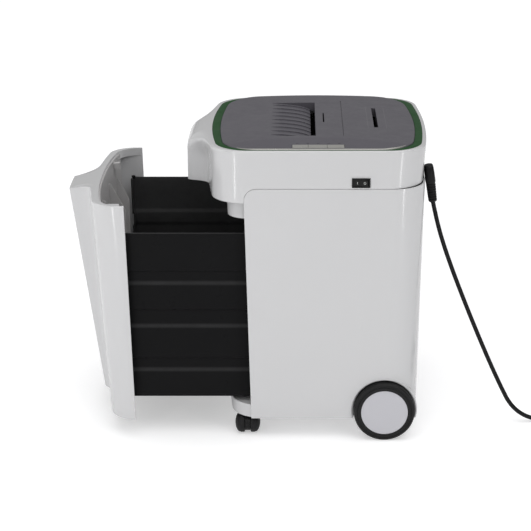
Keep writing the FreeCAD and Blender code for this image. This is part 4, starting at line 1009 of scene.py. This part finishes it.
# ---- drawer
def panel_share(z):
    return (z - PANEL_BOTTOM_Z) / (PANEL_TOP_Z - PANEL_BOTTOM_Z)


def plain_panel_front(x, z):
    bow = PANEL_BOW * (abs(x) / PANEL_BOW_HALF_WIDTH) ** PANEL_BOW_POWER
    return blend(*PANEL_FRONT_Y, panel_share(z)) + bow


def panel_front(x, z, shift=0.0):
    """The front's outer face, moved inwards by shift: bowed, with a bulge in the middle."""
    outside = max(0.0, abs(x) + shift - BULGE_HALF_WIDTH)
    bulge = blend(*BULGE_DEPTH, panel_share(z)) * exp(-(outside / BULGE_RUN_OUT) ** BULGE_POWER)
    return plain_panel_front(x, z) + shift - bulge


def panel_rear_edge(z):
    return CABINET_FRONT_BOTTOM_Y * (SEAM_Z - z) / (SEAM_Z - CABINET_BOTTOM_Z) - 0.6


def panel_top(y):
    """The upper edge slopes down over the bulge."""
    return min(PANEL_TOP_Z,
               BULGE_TOP_Z + (y - BULGE_TOP_Y) * (PANEL_TOP_Z - BULGE_TOP_Z) / BULGE_TOP_WAY)


def make_corner_tab():
    """The small flat shelf in the drawer front's near upper corner."""
    plan = rounded_plan(*TAB_PLAN, TAB_CORNER)
    rows = [at_height(inset(plan, depth), z) for depth, z in TAB_LAYERS]
    piece = rows_to_piece("drawer_corner_tab", rows, "capped", -DRAWER_OPEN)
    return finish_piece(piece, "drawer", "white_shell", (), 35)


def make_front_panel():
    """One loop of rows: up the outside, over the top edge, down the back and the inside."""
    def skin(z, shift):
        return front_path(BODY_HALF_WIDTH - shift, lambda x: panel_front(x, z, shift),
                          PANEL_CORNER - shift, panel_rear_edge(z))

    def back(z):
        thickness = blend(*PANEL_THICKNESS, panel_share(z))
        return front_path(BODY_HALF_WIDTH - WALL - GAP,
                          lambda x: plain_panel_front(x, z) + thickness, PANEL_BACK_CORNER,
                          panel_rear_edge(z))

    under = PANEL_TOP_Z - PANEL_SOLID_TOP
    tops = [panel_top(y) for _, y in skin(PANEL_TOP_Z, 0.0)]
    make_row = row_maker(skin, len(tops))
    rows = [at_height(skin(PANEL_BOTTOM_Z, WALL - 0.6), PANEL_BOTTOM_Z)]
    rows += [make_row(PANEL_BOTTOM_Z + lift, shift)
             for shift, lift in ((0.8, 0.0), (0.25, 0.2), (0.0, 0.8))]
    rows += [make_row([blend(PANEL_BOTTOM_Z, top - PANEL_ROUNDING, share) for top in tops])
             for share in spaced(0.04, 1.0, 16) + [1.0]]
    for angle in (30, 60, 90):
        turn = radians(angle)
        lift = PANEL_ROUNDING * (sin(turn) - 1)
        rows.append(make_row([top + lift for top in tops], PANEL_ROUNDING * (1 - cos(turn))))
    brim = rows[-1]
    lip = [(x, y, panel_top(y)) for x, y in back(PANEL_TOP_Z)]
    for share in (0.3, 0.6, 0.9):
        row = []
        for (x0, y0, _), (x1, y1, _) in zip(brim, lip):
            y = blend(y0, y1, share)
            row.append((blend(x0, x1, share), y, panel_top(y)))
        rows.append(row)
    for inward, drop in ((0.1, 0.25), (0.2, 1.0)):
        rows.append([(x, y + inward, z - drop) for x, y, z in lip])
    rows.append(at_height(back(under), under))
    rows += [make_row(z, WALL) for z in (under, 300.0, 180.0, PANEL_BOTTOM_Z + 1.0)]
    faces = grid_faces(len(rows), len(tops), True, False)
    points = [point for row in rows for point in row]
    for side in (0, len(tops) - 1):
        faces.append(tuple(row * len(tops) + side for row in range(len(rows))))
    piece = raw_piece("drawer_front", points, faces, -DRAWER_OPEN)
    return finish_piece(piece, "drawer", "white_shell", ["front_panel"], 35)


def bin_ring(z, inward, corner):
    """A rounded rectangle round the bin at height z, moved inwards."""
    share = (z - BIN_BOTTOM_Z) / (BIN_TOP_Z - BIN_BOTTOM_Z)
    half_width = blend(BIN_HALF_BOTTOM, BIN_HALF_TOP, share) - inward
    front = blend(BIN_FRONT_Y + BIN_TAPER_Y, BIN_FRONT_Y, share) + inward
    rear = blend(BIN_REAR_Y - BIN_TAPER_Y, BIN_REAR_Y, share) - inward
    return at_height(rounded_plan(-half_width, half_width, front, rear, corner, 8), z)


def band_depth(z, top_slope):
    """The bin's wall steps inwards along each band: a slope above it, a longer one below."""
    depth = 0.0
    for low, high in BIN_BANDS_Z:
        rise = smooth_step((z - low + BIN_BAND_SLOPE) / BIN_BAND_SLOPE)
        fall = smooth_step((high + top_slope - z) / top_slope)
        depth = max(depth, BIN_BAND_DEPTH * min(rise, fall))
    return depth


def bin_body():
    """One stack of rings: up the outside with its bands, over the brim and down the inside."""
    heights = []
    for low, high in reversed(BIN_BANDS_Z):
        heights += [blend(low - BIN_BAND_SLOPE, low, share / 8) for share in range(9)]
        heights += [blend(high, high + BIN_BAND_STEP, share / 4) for share in range(5)]
        heights += [blend(high, high + BIN_BAND_SLOPE, share / 8) for share in range(3, 9)]
    heights = [BIN_BOTTOM_Z + 3] + heights + [BIN_TOP_Z - 24, BIN_TOP_Z - 8, BIN_TOP_Z - 1.2]
    rows = [bin_ring(BIN_BOTTOM_Z + lift, depth, corner) for lift, depth, corner in BIN_FOOT]
    rows += [bin_ring(z, band_depth(z, BIN_BAND_STEP), BIN_CORNER) for z in heights]
    rows += [bin_ring(BIN_TOP_Z + lift, depth, corner) for lift, depth, corner in BIN_BRIM]
    rows += [bin_ring(z, WALL + band_depth(z, BIN_BAND_SLOPE), BIN_INNER_CORNER)
             for z in reversed(heights[1:])]
    rows += [bin_ring(BIN_BOTTOM_Z + lift, depth, corner) for lift, depth, corner in BIN_FLOOR]
    return rows_to_piece("waste_bin", rows, "capped", -DRAWER_OPEN)


def bin_window():
    """What is cut out of the bin's front wall: a window with two rounded lower corners."""
    corner = BIN_WINDOW_CORNER
    half = BIN_WINDOW_HALF
    above = BIN_TOP_Z + 20
    sill = [(-half, above), (-half, BIN_WINDOW_SILL_Z + corner)]
    for side, first in ((-1, 180), (1, 270)):
        sill += arc(side * (half - corner), BIN_WINDOW_SILL_Z + corner, corner, first,
                    first + 90, 8)
    sill.append((half, above))
    rows = [[(x, BIN_FRONT_Y + depth, z) for x, z in sill] for depth in (-10, 9)]
    cutter = rows_to_piece("window_cut", rows, "capped", -DRAWER_OPEN)
    keep_sharp(cutter.data, 30)
    return cutter


def make_bin_knob():
    top = node_box("bin")[1].z
    middle_x = -BIN_HALF_TOP + KNOB_INSET
    middle_y = BIN_FRONT_Y + KNOB_INSET - DRAWER_OPEN
    profile = [(radius, BIN_TOP_Z + lift) for radius, lift in KNOB_PROFILE]
    rows = []
    for radius, z in profile + [(radius, top) for radius in KNOB_TOP_RADII]:
        rows.append([(middle_x + radius * cos(2 * pi * step / 32),
                      middle_y + radius * sin(2 * pi * step / 32), z)
                     for step in range(32)])
    return finish_piece(rows_to_piece("bin_knob", rows), "drawer", "bin_black")


def make_bin():
    """The bin, with painted light marked on its inner faces and a painted highlight on those that
    slope upwards.
    """
    piece = bin_body()
    subtract(piece, bin_window())
    make_bin_knob()
    finish_piece(piece, "drawer", "bin_black", ["bin"], 30)
    middle = Vector((0.0, (BIN_FRONT_Y + BIN_REAR_Y) / 2 - DRAWER_OPEN, 0.0)) * MM
    painted_light = piece.data.attributes.new("painted_light", "FLOAT", "FACE")
    for face, mark in zip(piece.data.polygons, painted_light.data):
        outward = (face.center - middle) * Vector((1.0, 1.0, 0.0))
        inward = face.normal.dot(outward) < -1e-4
        # painted light: inner faces get a paler grey for light falling in, and faces that face
        # upwards get a painted highlight
        mark.value = (PAINTED_LIGHT_INSIDE if inward else 0.0) + PAINTED_HIGHLIGHT_FACING_UP * max(0.0, face.normal.z)
    return piece


# ---- wheels
def make_rear_wheel(side, sign):
    inner_x, outer_x = REAR_WHEEL_X
    rim = TYRE_INNER_RADIUS - 0.1
    tyre = [(inner_x, TYRE_INNER_RADIUS)]
    tyre += [(inner_x + along, REAR_WHEEL_RADIUS - drop) for along, drop in TYRE_TREAD]
    tyre += [(outer_x - depth, REAR_WHEEL_RADIUS - drop) for depth, drop in TYRE_SHOULDER]
    tyre += [(outer_x - depth, TYRE_INNER_RADIUS + rise) for depth, rise in TYRE_LIP]
    disc = [(outer_x - HUB_DEPTH, AXIS_RADIUS)]
    disc += [(outer_x - depth, rim - drop) for depth, drop in HUB_FACE]
    disc += [(outer_x - HUB_MIDDLE_DEPTH, AXIS_RADIUS)]
    centre = (0.0, REAR_WHEEL_Y, REAR_WHEEL_RADIUS)
    for name, profile, slot_name, replaced, sharp in (
            ("tyre_ring_", tyre, "tyre_black", ["tyre_" + side], 26),
            ("hub_disc_", disc, "hub_grey", (), 30)):
        piece = rows_to_piece(name + side, turned_rows(profile, centre, "X", sign, 160))
        finish_piece(piece, "wheel_" + side, slot_name, replaced, sharp)


def make_castor_wheels(side, sign):
    profile = [(CASTOR_INNER + along, CASTOR_RADIUS - drop) for along, drop in CASTOR_TREAD]
    for angle in range(20, 90, 7):
        turn = radians(angle)
        profile.append((CASTOR_DOME_START + CASTOR_DOME_DEPTH * sin(turn),
                        CASTOR_RADIUS * cos(turn)))
    profile.append((CASTOR_DOME_START + CASTOR_DOME_DEPTH, AXIS_RADIUS))
    centre = (sign * CASTOR_AXIS[0], CASTOR_AXIS[1], CASTOR_RADIUS)
    piece = solids_to_piece("castor_twin_wheels_" + side,
                            [ring_solid(turned_rows(profile, centre, "Y", direction, 64))
                             for direction in (-1, 1)])
    finish_piece(piece, "castor_roll_" + side, "tyre_black", ["castor_wheels_" + side], 28)


# ---- cord set
def make_connector():
    """The angled socket of the lead, with grip ribs down its neck."""
    start = Vector(CONNECTOR_START)
    end = Vector(CORD_ROUTE[0])
    heading = (end - start).normalized()
    across = heading.cross(Vector((1, 0, 0))).normalized()
    length = (end - start).length
    sections = list(CONNECTOR_HEAD)
    for rib in range(GRIP_RIBS):
        share = GRIP_START + rib * GRIP_PITCH
        width = blend(*GRIP_WIDTHS, rib / (GRIP_RIBS - 1))
        depth = blend(*GRIP_DEPTHS, rib / (GRIP_RIBS - 1))
        sections += [(share, width - 1.6, depth - 1.4), (share + 0.016, width - 1.6, depth - 1.4),
                     (share + 0.024, width, depth), (share + 0.052, width, depth)]
    rows = []
    for share, width, depth in sections + list(CONNECTOR_END):
        middle = start + heading * (length * share)
        plan = rounded_plan(-width / 2, width / 2, -depth / 2, depth / 2,
                            CONNECTOR_CORNER * min(width, depth), 5)
        rows.append([tuple(middle + Vector((x, 0, 0)) + across * y) for x, y in plan])
    piece = rows_to_piece("lead_connector", rows, "capped")
    return finish_piece(piece, "cabinet", "cord_black", ["connector"], 38)


def coil_points():
    """Two rings side by side, two layers high, and the last quarter turn in the top's valley."""
    valley = (COIL_OUTER_RING + COIL_INNER_RING) / 2
    floor_layer, upper_layer, valley_layer = COIL_LAYERS_Z
    moves = ((0.84, 1.0, COIL_INNER_RING, floor_layer), (1.80, 2.0, COIL_INNER_RING, upper_layer),
             (2.84, 3.0, COIL_OUTER_RING, upper_layer), (3.78, 3.98, valley, valley_layer))
    widening = 1 / (0.75 + 0.25 * cos(2 * pi / COIL_POINTS_PER_TURN))
    points = []
    for index in range(1, int(COIL_TURNS * COIL_POINTS_PER_TURN)):
        turns = index / COIL_POINTS_PER_TURN
        radius = COIL_OUTER_RING
        z = floor_layer
        for begin, finish, next_radius, next_z in moves:
            share = smooth_step((turns - begin) / (finish - begin))
            radius = blend(radius, next_radius, share)
            z = blend(z, next_z, share)
        angle = 2 * pi * turns
        points.append((COIL_CENTRE[0] + radius * widening * cos(angle),
                       COIL_CENTRE[1] + radius * widening * sin(angle), z))
    return points


def make_cord():
    curve = bpy.data.curves.new("mains_lead", "CURVE")
    curve.dimensions = "3D"
    curve.bevel_depth = CORD_DIAMETER / 2 * MM
    curve.bevel_resolution = 5
    curve.use_fill_caps = True
    curve.resolution_u = 8
    route = CORD_ROUTE + coil_points() + TAIL_ROUTE
    spline = curve.splines.new("NURBS")
    spline.points.add(len(route) - 1)
    for point, (x, y, z) in zip(spline.points, route):
        point.co = (x * MM, y * MM, z * MM, 1.0)
    spline.order_u = 3
    spline.use_endpoint_u = True
    curve.materials.append(SLOT_MATERIALS["cord_black"])
    piece = add_object("mains_lead", curve)
    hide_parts("cord_tube", "cord_coil")
    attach(piece, "cabinet")
    return piece


# ---- small marks
def raised_strip(name, path, width, height, slot_name, material=None, closed=False):
    """A thin flat bead along a plan path on the lid."""
    rows = []
    count = len(path)
    for index, ((x, y), (normal_x, normal_y)) in enumerate(zip(path, left_normals(path, closed))):
        taper = 1.0 if closed else min(1.0, 0.15 + 6 * min(index, count - 1 - index) / count)
        row = []
        for across, up in STRIP_SECTION:
            place_x = x + normal_x * width * across * taper
            place_y = y + normal_y * width * across * taper
            row.append((place_x, place_y, lid_height(place_x, place_y) + up * height * taper))
        rows.append(row)
    piece = rows_to_piece(name, rows, "joined" if closed else "open")
    if not closed:
        edit_mesh(piece.data, lambda work: bmesh.ops.holes_fill(work, edges=work.edges))
    return finish_piece(piece, "cabinet", slot_name, (), 40, material)


def make_lid_details():
    """The lip on the switch side, pale silver as a painted highlight on its rolled edge, the
    outline round the disc slot, paler as a painted highlight on its faint raised edge, and key
    marks.
    """
    lip = [(x, y) for x, y in inset(lid_outline(), LIP_INSET)
           if x > LIP_MIN_X and LIP_ENDS_Y[0] < y < LIP_ENDS_Y[1]]
    # the lip is a real rolled bead; its pale silver colour is also a painted highlight along its
    # edge
    raised_strip("lid_lip_with_painted_highlight", lip, LIP_WIDTH, LIP_HEIGHT, "key_silver")
    x0, x1, y0, y1 = CD_SLOT
    # the outline is a very low bead; its paler grey is a painted highlight on its edge
    outline_plan = rounded_plan(x0 - 10, x1 + 10, y0 - 10, y1 + 14, 8)
    raised_strip("disc_slot_outline", outline_plan, 0.7, MARK_HEIGHT, "lid_grey", lid_painted_highlight,
                 closed=True)
    mark_x = KEY_POCKET[0] - 7
    for index in range(KEY_MARKS):
        y = blend(KEYS_Y[0] + 8, KEYS_Y[1] - 8, index / (KEY_MARKS - 1))
        dash = [(mark_x, y - 2.4 + step * 0.8) for step in range(7)]
        raised_strip("key_mark_%d" % (index + 1), dash, 1.6, MARK_HEIGHT, "lid_grey", dark_mark)


def make_switch_marks():
    """A bar and a ring, the usual on and off marks, laid on the rocker's two halves."""
    rocker = frame["nodes"]["switch_rocker"]
    centre_y, centre_z = SWITCH_CENTRE

    def on_rocker(y, z):
        start = Vector((0.3, y * MM, z * MM))
        hit, place, _, _ = rocker.ray_cast(start, Vector((-1, 0, 0)))
        return (place.x / MM + MARK_HEIGHT if hit else BODY_HALF_WIDTH, y, z)

    bar = [on_rocker(centre_y - MARK_SHIFT + y, centre_z + z)
           for y, z in ((-0.5, -2), (0.5, -2), (0.5, 2), (-0.5, 2))]
    rings = []
    for radius in (1.3, 2.0):
        rings.append([on_rocker(centre_y + MARK_SHIFT + radius * cos(pi * step / 12),
                                centre_z + radius * sin(pi * step / 12))
                      for step in range(24)])
    for piece in (raw_piece("switch_mark_on", bar, [(0, 1, 2, 3)]),
                  rows_to_piece("switch_mark_off", rings, "open")):
        finish_piece(piece, "rocker", "black_plastic", (), 40, pale_mark)


def make_plug_pins():
    """Metal sleeves on the plug's two blades and its round earth pin."""
    end = Vector(TAIL_ROUTE[-1])
    heading = end - Vector(TAIL_ROUTE[-2])
    heading.z = 0.0
    heading.normalize()
    side = Vector((-heading.y, heading.x, 0.0))
    up = Vector((0.0, 0.0, 1.0))
    base = Vector((end.x, end.y, PLUG_CENTRE_Z)) + heading * PLUG_START

    def pin(offset, lift, half_width, half_height, length):
        """One pin with a rounded end; its section is a circle or a flat bar."""
        power = 1.0 if half_width == half_height else 0.5
        rows = []
        for along, size in ((0.0, 1.0), (length - 2.2, 1.0), (length - 0.8, 0.86), (length, 0.5)):
            row = []
            for step in range(24):
                cosine = cos(pi * step / 12)
                sine = sin(pi * step / 12)
                across = copysign(abs(cosine) ** power, cosine) * half_width
                rise = copysign(abs(sine) ** power, sine) * half_height
                row.append(tuple(base + heading * (PLUG_LENGTH - 0.2 + along)
                                 + side * (offset + across * size) + up * (lift + rise * size)))
            rows.append(row)
        return ring_solid(rows, "capped")

    piece = solids_to_piece("plug_pins", [pin(*sizes) for sizes in PLUG_PINS])
    return finish_piece(piece, "cabinet", "pin_brass", (), 30)


connector = make_connector()
plug_pins = make_plug_pins()
cord = make_cord()
tuple(value * MM for value in CORD_ROUTE[0])

make_head()
make_trim_ring()
make_lid_panel()
make_lid_details()
make_switch_marks()
make_cabinet()
make_front_panel()
make_corner_tab()
make_bin()
for side_name, side_sign in (("right", 1), ("left", -1)):
    make_rear_wheel(side_name, side_sign)
    make_castor_wheels(side_name, side_sign)


# ---- studio: the lights' places and sizes are in metres, their powers in watts
SUN_STRENGTH = 1.6
SUN_SPREAD = radians(70)
SUN_TURN = (radians(-8), radians(10), 0.0)
# name, place, point it faces, size, power
SOFT_BOXES = (
    ("key_box", (2.6, -0.5, 1.4), (0.0, 0.05, 0.3), (1.6, 1.4), 7.9),
    ("front_box", (0.2, -2.6, 1.0), (0.0, -0.2, 0.3), (1.6, 1.4), 12.5),
    ("left_strip", (1.1, -0.62, 0.45), (0.18, -0.05, 0.3), (0.08, 1.0), 1.6),
    ("right_strip", (1.1, 0.95, 0.45), (0.18, 0.28, 0.3), (0.08, 1.0), 1.6),
)
WHITE = (1.0, 1.0, 1.0, 1.0)
FLOOR_REACH = 9000.0
# pairs: the strength for light that bounces, and for what is seen straight from the camera
FLOOR_GLOW = (0.22, 0.41)
SURROUNDINGS = (0.3, 1.05)


def make_lights():
    """A wide sun from above, and soft boxes that show in reflections but not to the camera."""
    sun = bpy.data.lights.new("top_sun", "SUN")
    sun.energy = SUN_STRENGTH
    sun.angle = SUN_SPREAD
    add_object("top_sun", sun).rotation_euler = SUN_TURN
    for name, place, target, size, power in SOFT_BOXES:
        data = bpy.data.lights.new(name, "AREA")
        data.shape = "RECTANGLE"
        data.size, data.size_y = size
        data.energy = power
        light = add_object(name, data)
        light.location = place
        facing = Vector(target) - Vector(place)
        light.rotation_euler = facing.to_track_quat("-Z", "Y").to_euler()
        light.visible_camera = False


def make_floor():
    reach = FLOOR_REACH
    floor = raw_piece("studio_floor", [(-reach, -reach, 0), (reach, -reach, 0), (reach, reach, 0),
                                       (-reach, reach, 0)], [(0, 1, 2, 3)])
    material, tree, principled = new_material("studio_floor", Roughness=0.7,
                                              Specular_IOR_Level=0.1, Emission_Color=WHITE)
    tree.links.new(ramp(tree, noise(tree, 3.0), (0.79, 0.79, 0.80), (0.81, 0.81, 0.815)),
                   principled.inputs["Base Color"])
    seen = tree.nodes.new("ShaderNodeLightPath")
    glow = add_node(tree, "ShaderNodeMapRange", To_Min=FLOOR_GLOW[0], To_Max=FLOOR_GLOW[1])
    tree.links.new(seen.outputs["Is Camera Ray"], glow.inputs["Value"])
    tree.links.new(glow.outputs["Result"], principled.inputs["Emission Strength"])
    floor.data.materials.append(material)


def make_surroundings():
    world = bpy.data.worlds.new("studio")
    bpy.context.scene.world = world
    world.use_nodes = True
    tree = world.node_tree
    tree.nodes.clear()
    output = tree.nodes.new("ShaderNodeOutputWorld")
    choose = tree.nodes.new("ShaderNodeMixShader")
    seen = tree.nodes.new("ShaderNodeLightPath")
    tree.links.new(seen.outputs["Is Camera Ray"], choose.inputs["Fac"])
    for socket, strength in zip(choose.inputs[1:], SURROUNDINGS):
        glow = add_node(tree, "ShaderNodeBackground", Color=WHITE, Strength=strength)
        tree.links.new(glow.outputs["Background"], socket)
    tree.links.new(choose.outputs["Shader"], output.inputs["Surface"])


make_lights()
make_floor()
make_surroundings()
bpy.context.scene.view_settings.view_transform = "Standard"
